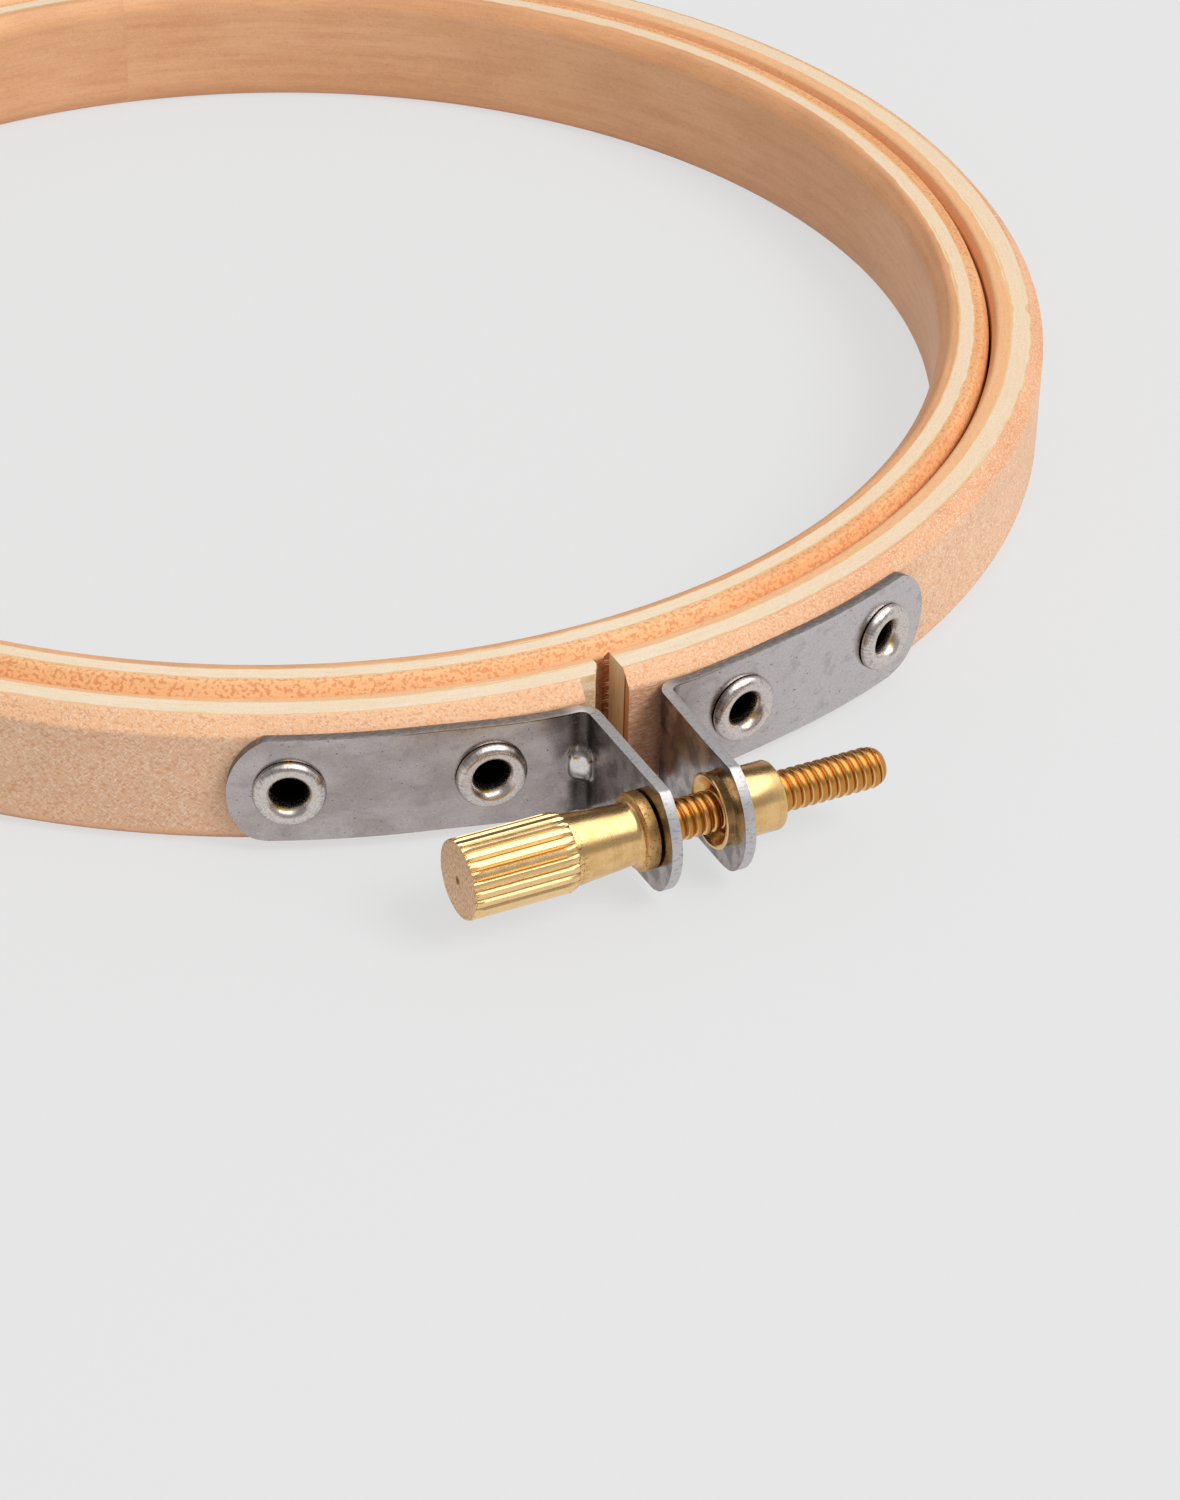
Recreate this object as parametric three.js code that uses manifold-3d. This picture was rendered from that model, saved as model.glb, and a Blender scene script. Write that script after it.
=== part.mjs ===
// Embroidery hoop: an inner and an outer ring of bent three-ply beech, a riveted clamp and a thumb screw.
// Millimetres, +Z up. The rings lie flat on Z = 0, and the outer ring's split and its clamp face -Y.
// X = 0 runs through the split, and Y = 0 is half way between the ring's back and the clamp's ears.

import * as THREE from 'three';
import { mergeVertices } from 'three/addons/utils/BufferGeometryUtils.js';
import Module from 'manifold-3d';

const wasm = await Module();
wasm.setup();

// Rings
const openingRadius = 50.65; // clear inside of the inner ring
const ringHeight = 10;
const insidePly = 1.5; // thickness of each ring's inside ply
const corePly = 1.25; // the pale ply in the middle
const outsidePly = 1.1;
const glueLine = 0.04;
const ringClearance = 0.2; // between the two rings with no fabric in
const chamferWidth = 1.05; // across the top of an inside or outside ply
const chamferHeight = 1.25; // down its face
const splitWidth = 1.5; // the outer ring's open ends

// Clamp brackets, bent from sheet
const sheet = 0.78;
const bracketHeight = 8.1;
const bracketLift = 1.05; // underside of the bracket above the table
const bracketSeat = 0.1; // between the strap and the outer ring
const bendRadius = 1.1; // inside of the bend
const earSpacing = 4.26; // between the ears' facing sides
const endArcRadius = 4.9; // both ends of a bracket
const earMargin = 3.95; // screw axis to the ear's tip
const strapMargin = 4.1; // far eyelet's axis to the strap's tip
const gussetRadius = 0.95; // pressed stiffener across the bend
const gussetReach = 0.5; // how far it stands out of the bend's inside

// Eyelets
const nearEyelet = 9.55; // along the strap from the middle of the split
const farEyelet = 23.2;
const eyeletBore = 1.2; // radius
const eyeletWall = 0.3;
const eyeletFlangeRadius = 2.5;
const eyeletFlangeHeight = 0.72;
const eyeletRimEdge = 0.12; // upright edge under the rolled flange
const clinchRadius = 2.2;
const clinchDepth = 0.3;
const clinchSink = 0.15; // below the outer ring's inner face
const eyeletFit = 0.12; // clearance all round an eyelet

// Thumb screw
const screwStandoff = 10.1; // screw axis from the outer ring's face
const threadRadius = 1.45;
const threadDepth = 0.3;
const threadPitch = 0.67;
const threadCrestFlat = 0.16;
const threadRootFlat = 0.05;
const ridgeSink = 0.1; // how deep the ridge is buried in the stem
const threadLength = 17.8; // from the flange to the tail
const tailChamfer = 0.4;
const flangeRadius = 2.62;
const flangeThickness = 0.75;
const neckLength = 5.2;
const neckSmallRadius = 2.1;
const neckLargeRadius = 2.5;
const knurlLength = 7.7;
const knurlRadius = 2.75;
const knurlDepth = 0.24;
const knurlCount = 24;
const knurlChamfer = 0.2;
const runningClearance = 0.08; // flange to ear
const screwHoleFit = 0.35; // round the thread in the ear and the bush

// Clamp bush, swaged into the right ear
const bushRadius = 2.4;
const bushLength = 3.55; // outside the ear
const bushWall = 0.26; // where it passes through the ear
const bushChamfer = 0.25;
const bushFit = 0.06; // clearance to the ear, on its faces and round its hole
const collarRadius = 2.5;
const collarLength = 0.65; // inside the ear
const lipRadius = 2.3;
const lipTaper = 0.33; // along the collar, from its full radius to the lip
const mouthRadius = 2.05; // the cone that the thread comes out of

// Facets
const ringSegments = 80;
const turnedSegments = 20;
const threadSegments = 12;
const strapSegments = 10;
const bendSegments = 5;
const endArcSegments = 8;
const rimSegments = 6;
const dimpleSegments = 12;
const dimpleRings = 8;

// Worked out from the sizes above
const ringWall = insidePly + corePly + outsidePly + 2 * glueLine;
const innerRingOutside = openingRadius + ringWall;
const outerRingInside = innerRingOutside + ringClearance;
const outerRingOutside = outerRingInside + ringWall;
const strapInside = outerRingOutside + bracketSeat;
const strapOutside = strapInside + sheet;
const bracketMiddle = bracketLift + bracketHeight / 2;
const screwRadius = outerRingOutside + screwStandoff; // screw axis from the rings' centre
const earInside = earSpacing / 2;
const earOutside = earInside + sheet;
const endArcDrop = endArcRadius - Math.sqrt(Math.max(endArcRadius ** 2 - (bracketHeight / 2) ** 2, 0));
const eyeletShank = eyeletBore + eyeletWall;
const eyeletHole = eyeletShank + eyeletFit;
const bushBore = threadRadius + screwHoleFit;
const bushShank = bushBore + bushWall;
const earTip = screwRadius + earMargin; // from the rings' centre
const ringCentreY = (earTip - outerRingOutside) / 2;
const spare = 2; // how far a cutter runs past what it cuts

// Materials
const veneer = { color: 0xe3ac7c, roughness: 0.75, metalness: 0 };
const core = { color: 0xf0d9bc, roughness: 0.8, metalness: 0 };
const steel = { color: 0x969292, roughness: 0.35, metalness: 1 };
const nickel = { color: 0xd9d5cc, roughness: 0.22, metalness: 1 };
const brass = { color: 0xd6a546, roughness: 0.3, metalness: 1 };

// A closed geometry as a solid, with its faces turned outwards
function solidFrom(geometry) {
  const bare = geometry.clone();
  bare.deleteAttribute('normal');
  bare.deleteAttribute('uv');
  const merged = mergeVertices(bare);
  const position = merged.attributes.position;
  const index = merged.index;
  const corners = [new THREE.Vector3(), new THREE.Vector3(), new THREE.Vector3()];
  const triangles = [];
  let volume = 0;
  for (let i = 0; i < index.count; i += 3) {
    const [p, q, r] = [index.getX(i), index.getX(i + 1), index.getX(i + 2)];
    if (p === q || q === r || r === p) continue;
    triangles.push(p, q, r);
    corners[0].fromBufferAttribute(position, p);
    corners[1].fromBufferAttribute(position, q);
    corners[2].fromBufferAttribute(position, r);
    volume += corners[0].dot(corners[1].cross(corners[2]));
  }
  if (volume < 0) triangles.reverse();
  return new wasm.Manifold(new wasm.Mesh({
    numProp: 3,
    vertProperties: Float32Array.from(position.array),
    triVerts: Uint32Array.from(triangles),
  }));
}

function geometryFrom(solid) {
  const mesh = solid.getMesh();
  const geometry = new THREE.BufferGeometry();
  geometry.setAttribute('position', new THREE.BufferAttribute(Float32Array.from(mesh.vertProperties), 3));
  geometry.setIndex(new THREE.BufferAttribute(Uint32Array.from(mesh.triVerts), 1));
  geometry.computeVertexNormals();
  return geometry;
}

function namedMesh(name, solid, finish) {
  const mesh = new THREE.Mesh(geometryFrom(solid), new THREE.MeshStandardMaterial(finish));
  mesh.name = name;
  return mesh;
}

// A closed outline of [radius, height] points, turned about Z
function turnedRing(outline, segments) {
  const points = [...outline, outline[0]].map(([radius, height]) => new THREE.Vector2(radius, height));
  return new THREE.LatheGeometry(points, segments).rotateX(Math.PI / 2);
}

// The same about X, from [radius, place along X] points
function turnedAlongX(outline, segments) {
  const points = [...outline, outline[0]].map(([radius, along]) => new THREE.Vector2(radius, along));
  return new THREE.LatheGeometry(points, segments).rotateZ(-Math.PI / 2);
}

function box(size, centre) {
  return new THREE.BoxGeometry(...size).translate(...centre);
}

// A rod along X
function rodAlongX(radius, from, to, segments) {
  const rod = new THREE.CylinderGeometry(radius, radius, to - from, segments);
  return rod.rotateZ(-Math.PI / 2).translate((from + to) / 2, 0, 0);
}

// One eyelet's hole through the ring and strap: a rod that points away from the rings' centre
function radialRod(radius, from, to, alongStrap) {
  const rod = new THREE.CylinderGeometry(radius, radius, to - from, turnedSegments);
  return rod.translate(0, -(from + to) / 2, bracketMiddle).rotateZ(alongStrap / strapOutside);
}

// Rings

// A ply from one radius to another, chamfered on the face that shows
function ply(inside, outside, chamferedFace) {
  const width = Math.min(chamferWidth, outside - inside - glueLine);
  const low = [[inside, 0], [outside, 0]];
  const high = [[outside, ringHeight], [inside, ringHeight]];
  if (chamferedFace === 'inside') {
    low.splice(0, 1, [inside, chamferHeight], [inside + width, 0]);
    high.splice(1, 1, [inside + width, ringHeight], [inside, ringHeight - chamferHeight]);
  }
  if (chamferedFace === 'outside') {
    low.splice(1, 1, [outside - width, 0], [outside, chamferHeight]);
    high.splice(0, 1, [outside, ringHeight - chamferHeight], [outside - width, ringHeight]);
  }
  return solidFrom(turnedRing([...low, ...high], ringSegments));
}

// The three plies of a ring, from the inside out
function plies(inside) {
  const coreInside = inside + insidePly + glueLine;
  const coreOutside = coreInside + corePly;
  const lastInside = coreOutside + glueLine;
  return [
    ply(inside, inside + insidePly, 'inside'),
    ply(coreInside, coreOutside, 'none'),
    ply(lastInside, lastInside + outsidePly, 'outside'),
  ];
}

const eyeletPlaces = [
  ['left_far_eyelet', -farEyelet],
  ['left_near_eyelet', -nearEyelet],
  ['right_near_eyelet', nearEyelet],
  ['right_far_eyelet', farEyelet],
];

// The outer ring is sawn through and drilled, with a counterbore for each eyelet's clinched end
function splitAndDrilled(solid) {
  const reach = outerRingOutside + spare;
  let cut = solid.subtract(solidFrom(box([splitWidth, reach, ringHeight + 2 * spare], [0, -reach / 2, ringHeight / 2])));
  const counterbore = outerRingInside + clinchSink + clinchDepth + eyeletFit;
  for (const [, place] of eyeletPlaces) {
    cut = cut.subtract(solidFrom(radialRod(eyeletHole, outerRingInside - spare, reach, place)));
    cut = cut.subtract(solidFrom(radialRod(clinchRadius + eyeletFit, outerRingInside - spare, counterbore, place)));
  }
  return cut;
}

// Brackets

// Points along one bracket, at a distance outwards from the middle of its sheet.
// It runs from the strap's tip round the ring, through the bend and out along the ear.
function bracketLine(offset) {
  const strapMiddle = (strapInside + strapOutside) / 2;
  const earMiddle = (earInside + earOutside) / 2;
  const bend = bendRadius + sheet / 2;
  const bendX = earMiddle + bend;
  const bendY = -Math.sqrt((strapMiddle + bend) ** 2 - bendX ** 2);
  const tipTurn = (farEyelet + strapMargin) / strapOutside;
  const bendTurn = Math.atan2(bendX, -bendY);
  const points = [];
  for (let i = 0; i <= strapSegments; i += 1) {
    const turn = tipTurn + ((bendTurn - tipTurn) * i) / strapSegments;
    const radius = strapMiddle + offset;
    points.push(new THREE.Vector2(radius * Math.sin(turn), -radius * Math.cos(turn)));
  }
  for (let i = 1; i <= bendSegments; i += 1) {
    const turn = bendTurn + ((Math.PI / 2 - bendTurn) * i) / bendSegments;
    const radius = bend - offset;
    const away = new THREE.Vector2(-Math.sin(turn), Math.cos(turn)).multiplyScalar(radius);
    points.push(new THREE.Vector2(bendX, bendY).add(away));
  }
  points.push(new THREE.Vector2(earMiddle + offset, -earTip));
  return points;
}

// A long slab whose near end is an arc that meets the bracket's long edges at two corners.
// It lies along the first direction, with the arc's tip at the origin, and runs back from there.
function roundEnded(along) {
  const half = bracketHeight / 2;
  const back = -(farEyelet + strapMargin + earTip);
  const outline = [
    new THREE.Vector2(back, half + spare),
    new THREE.Vector2(back, -half - spare),
    new THREE.Vector2(-endArcDrop, -half - spare),
  ];
  const sweep = Math.asin(Math.min(half / endArcRadius, 1));
  for (let i = 0; i <= endArcSegments; i += 1) {
    const turn = -sweep + (2 * sweep * i) / endArcSegments;
    const x = endArcRadius * (Math.cos(turn) - 1);
    outline.push(new THREE.Vector2(x, endArcRadius * Math.sin(turn)));
  }
  outline.push(new THREE.Vector2(-endArcDrop, half + spare));
  const depth = 2 * strapOutside;
  const slab = new THREE.ExtrudeGeometry(new THREE.Shape(outline), { depth, bevelEnabled: false });
  const up = new THREE.Vector3(0, 0, 1);
  const across = new THREE.Vector3().crossVectors(along, up);
  return slab.translate(0, 0, -depth / 2).applyMatrix4(new THREE.Matrix4().makeBasis(along, up, across));
}

// The right bracket, with the hole that its ear needs
function bracket(earHole) {
  const outline = [...bracketLine(-sheet / 2), ...bracketLine(sheet / 2).reverse()];
  const blank = new THREE.ExtrudeGeometry(new THREE.Shape(outline), { depth: bracketHeight, bevelEnabled: false });
  const tipTurn = (farEyelet + strapMargin) / strapOutside;
  const strapEnd = roundEnded(new THREE.Vector3(Math.cos(tipTurn), Math.sin(tipTurn), 0));
  strapEnd.translate(strapOutside * Math.sin(tipTurn), -strapOutside * Math.cos(tipTurn), bracketMiddle);
  const earEnd = roundEnded(new THREE.Vector3(0, -1, 0)).translate(0, -earTip, bracketMiddle);
  let solid = solidFrom(blank.translate(0, 0, bracketLift));
  solid = solid.add(gusset(0)).subtract(gusset(sheet));
  solid = solid.intersect(solidFrom(strapEnd)).intersect(solidFrom(earEnd));
  for (const place of [nearEyelet, farEyelet]) {
    solid = solid.subtract(solidFrom(radialRod(eyeletHole, strapInside - spare, strapOutside + spare, place)));
  }
  const hole = rodAlongX(earHole, earInside - spare, earOutside + spare, turnedSegments);
  return solid.subtract(solidFrom(hole.translate(0, -screwRadius, bracketMiddle)));
}

// The dimple pressed through the bend: a ball that stands out of the bend's inside.
// Moved back by the sheet's thickness, the same ball cuts the hollow behind it.
function gusset(back) {
  const diagonal = Math.SQRT1_2;
  const bendX = earOutside + bendRadius;
  const bendY = -Math.sqrt((strapOutside + bendRadius) ** 2 - bendX ** 2);
  const fromBend = bendRadius - gussetReach + gussetRadius + back;
  const ball = new THREE.SphereGeometry(gussetRadius, dimpleSegments, dimpleRings);
  ball.translate(bendX - diagonal * fromBend, bendY + diagonal * fromBend, bracketMiddle);
  return solidFrom(ball);
}

// Eyelet: a rolled flange outside the strap, a tube through the ring and a clinched end inside it.
// It is turned about the line from the rings' centre through its hole.
function eyelet() {
  const seat = strapOutside + eyeletFit / 2;
  const inner = outerRingInside + clinchSink;
  const clinchTop = inner + clinchDepth;
  const crown = (eyeletFlangeRadius + eyeletBore) / 2;
  const roll = (eyeletFlangeRadius - eyeletBore) / 2;
  const outline = [[eyeletBore, clinchTop]];
  for (let i = 0; i <= rimSegments; i += 1) {
    const turn = Math.PI - (Math.PI * i) / rimSegments;
    const rise = (eyeletFlangeHeight - eyeletRimEdge) * Math.sin(turn);
    outline.push([crown + roll * Math.cos(turn), seat + eyeletRimEdge + rise]);
  }
  outline.push(
    [eyeletFlangeRadius, seat],
    [eyeletShank, seat],
    [eyeletShank, clinchTop],
    [clinchRadius, clinchTop],
    [clinchRadius, inner],
    [eyeletShank, inner],
  );
  const points = [...outline, outline[0]].map(([radius, out]) => new THREE.Vector2(radius, -out));
  return solidFrom(new THREE.LatheGeometry(points, turnedSegments).translate(0, 0, bracketMiddle));
}

// Thumb screw, turned about X: X = 0 is the face of its flange, and the thread runs to +X

// The ridge of the thread, one strip wound round the root and buried in it
function threadRidge() {
  const foot = threadRadius - threadDepth - ridgeSink;
  const footHalf = (threadPitch - threadRootFlat) / 2;
  const section = [
    [foot, -footHalf],
    [threadRadius, -threadCrestFlat / 2],
    [threadRadius, threadCrestFlat / 2],
    [foot, footHalf],
  ];
  const turns = (threadLength - tailChamfer) / threadPitch;
  const steps = Math.ceil(turns * threadSegments);
  const positions = [];
  const triangles = [];
  for (let i = 0; i <= steps; i += 1) {
    const turn = (2 * Math.PI * i) / threadSegments;
    const along = (threadPitch * i) / threadSegments;
    for (const [radius, shift] of section) {
      positions.push(along + shift, radius * Math.cos(turn), radius * Math.sin(turn));
    }
  }
  const corner = (step, side) => step * section.length + (side % section.length);
  for (let i = 0; i < steps; i += 1) {
    for (let side = 0; side < section.length; side += 1) {
      triangles.push(corner(i, side), corner(i, side + 1), corner(i + 1, side + 1));
      triangles.push(corner(i, side), corner(i + 1, side + 1), corner(i + 1, side));
    }
  }
  triangles.push(corner(0, 0), corner(0, 2), corner(0, 1), corner(0, 0), corner(0, 3), corner(0, 2));
  triangles.push(corner(steps, 0), corner(steps, 1), corner(steps, 2));
  triangles.push(corner(steps, 0), corner(steps, 2), corner(steps, 3));
  const ridge = new THREE.BufferGeometry();
  ridge.setAttribute('position', new THREE.Float32BufferAttribute(positions, 3));
  ridge.setIndex(triangles);
  return solidFrom(ridge);
}

// A fluted rod, its ends chamfered
function knurledGrip(from, to) {
  const outline = [];
  for (let i = 0; i < 2 * knurlCount; i += 1) {
    const radius = i % 2 === 0 ? knurlRadius : knurlRadius - knurlDepth;
    const turn = (Math.PI * i) / knurlCount;
    outline.push(new THREE.Vector2(radius * Math.cos(turn), radius * Math.sin(turn)));
  }
  const fluted = new THREE.ExtrudeGeometry(new THREE.Shape(outline), { depth: to - from, bevelEnabled: false });
  const envelope = turnedAlongX([
    [0, from],
    [knurlRadius - knurlChamfer, from],
    [knurlRadius + knurlChamfer, from + 2 * knurlChamfer],
    [knurlRadius + knurlChamfer, to - 2 * knurlChamfer],
    [knurlRadius - knurlChamfer, to],
    [0, to],
  ], turnedSegments);
  return solidFrom(fluted.rotateY(Math.PI / 2).translate(from, 0, 0)).intersect(solidFrom(envelope));
}

function thumbScrew() {
  const root = threadRadius - threadDepth;
  const neckEnd = -flangeThickness - neckLength;
  const overlap = knurlChamfer;
  const body = turnedAlongX([
    [0, 0],
    [flangeRadius, 0],
    [flangeRadius, -flangeThickness],
    [neckSmallRadius, -flangeThickness],
    [neckLargeRadius, neckEnd - overlap],
    [0, neckEnd - overlap],
  ], turnedSegments);
  const tail = turnedAlongX([
    [0, threadLength],
    [threadRadius - tailChamfer, threadLength],
    [threadRadius, threadLength - tailChamfer],
    [threadRadius, -flangeThickness / 2],
    [0, -flangeThickness / 2],
  ], threadSegments);
  const stem = rodAlongX(root, -flangeThickness / 2, threadLength, threadSegments);
  const grip = knurledGrip(neckEnd - knurlLength, neckEnd);
  const thread = solidFrom(stem).add(threadRidge()).intersect(solidFrom(tail));
  return solidFrom(body).add(thread).add(grip);
}

// Clamp bush, turned about X: X = 0 is the middle of the clamp
function bush() {
  const seat = earOutside + bushFit;
  const end = seat + bushLength;
  const collar = earInside - bushFit;
  const lip = collar - collarLength;
  return solidFrom(turnedAlongX([
    [bushBore, end],
    [bushRadius - bushChamfer, end],
    [bushRadius, end - bushChamfer],
    [bushRadius, seat],
    [bushShank, seat],
    [bushShank, collar],
    [collarRadius, collar],
    [collarRadius, lip + lipTaper],
    [lipRadius, lip],
    [mouthRadius, lip],
    [bushBore, collar],
  ], turnedSegments));
}

// Assembly

const hoop = new THREE.Group();
hoop.position.y = ringCentreY;

const innerRing = new THREE.Group();
const outerRing = new THREE.Group();
const plyNames = ['inner_ply', 'core_ply', 'outer_ply'];
const plyFinishes = [veneer, core, veneer];
plies(openingRadius).forEach((solid, i) => {
  innerRing.add(namedMesh(`inner_ring_${plyNames[i]}`, solid, plyFinishes[i]));
});
plies(outerRingInside).forEach((solid, i) => {
  outerRing.add(namedMesh(`outer_ring_${plyNames[i]}`, splitAndDrilled(solid), plyFinishes[i]));
});
hoop.add(innerRing, outerRing);

const clamp = new THREE.Group();
const mirrored = [-1, 1, 1];
const leftEarHole = threadRadius + screwHoleFit;
const rightEarHole = bushShank + bushFit;
clamp.add(namedMesh('left_bracket', bracket(leftEarHole).scale(mirrored), steel));
clamp.add(namedMesh('right_bracket', bracket(rightEarHole), steel));
for (const [name, place] of eyeletPlaces) {
  const mesh = namedMesh(name, eyelet(), nickel);
  mesh.rotation.z = place / strapOutside;
  clamp.add(mesh);
}
hoop.add(clamp);

const screwLine = new THREE.Group();
screwLine.position.set(0, -screwRadius, bracketMiddle);
const screw = namedMesh('thumb_screw', thumbScrew(), brass);
screw.position.x = -earOutside - runningClearance;
screwLine.add(screw, namedMesh('clamp_bush', bush(), brass));
hoop.add(screwLine);

const group = new THREE.Group();
group.add(hoop);

export default group;
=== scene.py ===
# An embroidery hoop: two rings of bent three-ply beech, a riveted steel clamp and a brass thumb screw.

import math
import random

import bmesh
import bpy
import numpy as np
from mathutils import Matrix, Vector


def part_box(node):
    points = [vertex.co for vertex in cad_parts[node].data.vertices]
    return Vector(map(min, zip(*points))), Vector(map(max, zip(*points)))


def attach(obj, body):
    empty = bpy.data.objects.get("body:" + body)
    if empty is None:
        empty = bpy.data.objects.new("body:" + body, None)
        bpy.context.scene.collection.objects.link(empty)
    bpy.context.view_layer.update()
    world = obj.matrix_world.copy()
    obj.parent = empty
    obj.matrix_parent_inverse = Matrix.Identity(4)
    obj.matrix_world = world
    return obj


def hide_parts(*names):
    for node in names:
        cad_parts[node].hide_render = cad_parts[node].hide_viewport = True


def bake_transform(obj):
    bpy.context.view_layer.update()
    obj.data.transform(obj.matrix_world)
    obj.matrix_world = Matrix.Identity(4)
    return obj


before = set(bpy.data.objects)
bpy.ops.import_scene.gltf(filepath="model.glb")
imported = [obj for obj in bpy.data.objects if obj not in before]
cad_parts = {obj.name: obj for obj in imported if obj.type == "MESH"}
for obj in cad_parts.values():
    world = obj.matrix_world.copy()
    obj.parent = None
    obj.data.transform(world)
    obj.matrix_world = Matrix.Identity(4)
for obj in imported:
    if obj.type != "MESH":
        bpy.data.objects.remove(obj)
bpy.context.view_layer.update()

mm = 0.001
up = Vector((0, 0, 1))
alongX = Vector((1, 0, 0))
fullTurn = 2 * math.pi

# Where the frame puts things
ringLow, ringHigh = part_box("outer_ring_outer_ply")
ringOutside = (ringHigh.x - ringLow.x) / 2
centre = Vector((0, ringHigh.y - ringOutside, 0))  # the rings' common centre, on the table
screwLow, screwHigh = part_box("thumb_screw")
screwAxis = Vector((0, (screwLow.y + screwHigh.y) / 2, (screwLow.z + screwHigh.z) / 2))
bracketLow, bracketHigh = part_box("right_bracket")


def deselect():
    if bpy.context.mode != "OBJECT":
        bpy.ops.object.mode_set(mode="OBJECT")
    bpy.ops.object.select_all(action="DESELECT")


def select(*pieces):
    # Selects these alone, with the last of them active
    deselect()
    for piece in pieces:
        piece.select_set(True)
    bpy.context.view_layer.objects.active = pieces[-1]


def edit(piece):
    select(piece)
    bpy.ops.object.mode_set(mode="EDIT")


def pick(piece, test):
    # Selects the vertices whose place passes the test, and what lies between them
    bpy.ops.mesh.select_all(action="DESELECT")
    mesh = bmesh.from_edit_mesh(piece.data)
    for vertex in mesh.verts:
        if test(vertex.co):
            vertex.select_set(True)
    mesh.select_flush(True)
    bmesh.update_edit_mesh(piece.data)


def spin(angle, place, axis, steps=1):
    # Spins what is selected counter-clockwise about the axis. The operator itself turns the other way
    bpy.ops.mesh.spin(steps=steps, angle=angle, center=place, axis=-axis)


def weld(piece):
    # Merges doubles and turns the faces outwards
    edit(piece)
    bpy.ops.mesh.select_all(action="SELECT")
    bpy.ops.mesh.remove_doubles(threshold=0.002 * mm)
    bpy.ops.mesh.normals_make_consistent(inside=False)
    bpy.ops.object.mode_set(mode="OBJECT")


def applied(piece, kind, **settings):
    bpy.context.view_layer.objects.active = piece
    modifier = piece.modifiers.new(kind, kind)
    for setting, value in settings.items():
        setattr(modifier, setting, value)
    bpy.ops.object.modifier_apply(modifier=modifier.name)


def boolean(piece, tool, operation):
    applied(piece, "BOOLEAN", operation=operation, object=tool, solver="EXACT")
    bpy.data.objects.remove(tool)


def duplicated(piece, name):
    select(piece)
    bpy.ops.object.duplicate()
    copy = bpy.context.object
    copy.name = copy.data.name = name
    return copy


def turnRound(piece, angle):
    # Turns a piece about the rings' axis, in its mesh
    turn = Matrix.Rotation(angle, 4, "Z")
    piece.matrix_world = Matrix.Translation(centre) @ turn @ Matrix.Translation(-centre)
    select(piece)
    bpy.ops.object.transform_apply()


def smooth(piece, degrees=35):
    select(piece)
    bpy.ops.object.shade_smooth_by_angle(angle=math.radians(degrees))


def drawn(name, points):
    # A line of edges drawn out from one vertex, left in edit mode
    deselect()
    bpy.ops.mesh.primitive_plane_add(size=mm, location=points[0])
    piece = bpy.context.object
    piece.name = piece.data.name = name
    bpy.ops.object.transform_apply()
    bpy.ops.object.mode_set(mode="EDIT")
    bpy.ops.mesh.merge(type="CENTER")
    for here, there in zip(points, points[1:]):
        bpy.ops.mesh.extrude_vertices_move(TRANSFORM_OT_translate={"value": there - here})
    return piece


def turned(name, outline, place, axis, across, steps=96):
    # An outline of (radius, along) in millimetres, closed and spun about its axis as on a lathe
    points = [place + (axis * along + across * radius) * mm for radius, along in (*outline, outline[0])]
    piece = drawn(name, points)
    bpy.ops.mesh.select_all(action="SELECT")
    spin(fullTurn, place, axis, steps)
    weld(piece)
    return piece


def rounded(corners, radius, steps=3):
    # The same closed outline with its corners rounded. A corner with a third value keeps its own radius
    points = []
    for i, corner in enumerate(corners):
        here = Vector(corner[:2])
        before = Vector(corners[i - 1][:2]) - here
        after = Vector(corners[(i + 1) % len(corners)][:2]) - here
        reach = corner[2] if len(corner) > 2 else radius
        reach = min(reach, before.length / 2, after.length / 2)
        if reach == 0:
            points.append(tuple(here))
            continue
        first, last = here + before.normalized() * reach, here + after.normalized() * reach
        for step in range(steps + 1):
            t = step / steps
            points.append(tuple(first * (1 - t) ** 2 + here * 2 * t * (1 - t) + last * t * t))
    return points + points[:1]


# Materials

def linear(code):
    # An sRGB hex colour as Blender's linear one
    parts = [int(code[i : i + 2], 16) / 255 for i in (1, 3, 5)]
    return (*[p / 12.92 if p <= 0.04045 else ((p + 0.055) / 1.055) ** 2.4 for p in parts], 1)


def connect(node, inputs):
    # Sets or links a node's sockets, with colours as hex codes
    for socket, value in inputs.items():
        if isinstance(value, bpy.types.NodeSocket):
            node.id_data.links.new(value, node.inputs[socket])
        else:
            node.inputs[socket].default_value = linear(value) if isinstance(value, str) else value


def add(tree, kind, inputs=(), out=0, **settings):
    # Adds a node with its settings and links, and gives one of its outputs
    node = tree.nodes.new("ShaderNode" + kind)
    for setting, value in settings.items():
        setattr(node, setting, value)
    connect(node, dict(inputs))
    return node.outputs[out]


def newMaterial(name):
    material = bpy.data.materials.new(name)
    material.use_nodes = True
    return material, material.node_tree


def finished(material, colour, rough, raised, depth, strength, metallic=0.0):
    # Gives a material its colour, roughness and bump, whose depth is in millimetres
    tree = material.node_tree
    bump = add(tree, "Bump", {"Height": raised, "Distance": depth * mm, "Strength": strength})
    inputs = {"Base Color": colour, "Metallic": metallic, "Roughness": rough, "Normal": bump}
    connect(tree.nodes["Principled BSDF"], inputs)
    return material


def inMillimetres(tree, origin=(0, 0, 0)):
    # Where a point lies from the origin
    inputs = {0: add(tree, "TexCoord", out="Object"), 1: (1 / mm,) * 3, 2: [-part / mm for part in origin]}
    return add(tree, "VectorMath", inputs, operation="MULTIPLY_ADD")


def mask(tree, *steps, share=1.0):
    # The share where each value is past its high, down to nothing before its low; low may be the larger one
    for value, low, high in steps:
        inputs = {"Value": value, "From Min": low, "From Max": high, "To Max": share}
        share = add(tree, "MapRange", inputs, interpolation_type="SMOOTHSTEP")
    return share


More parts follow.
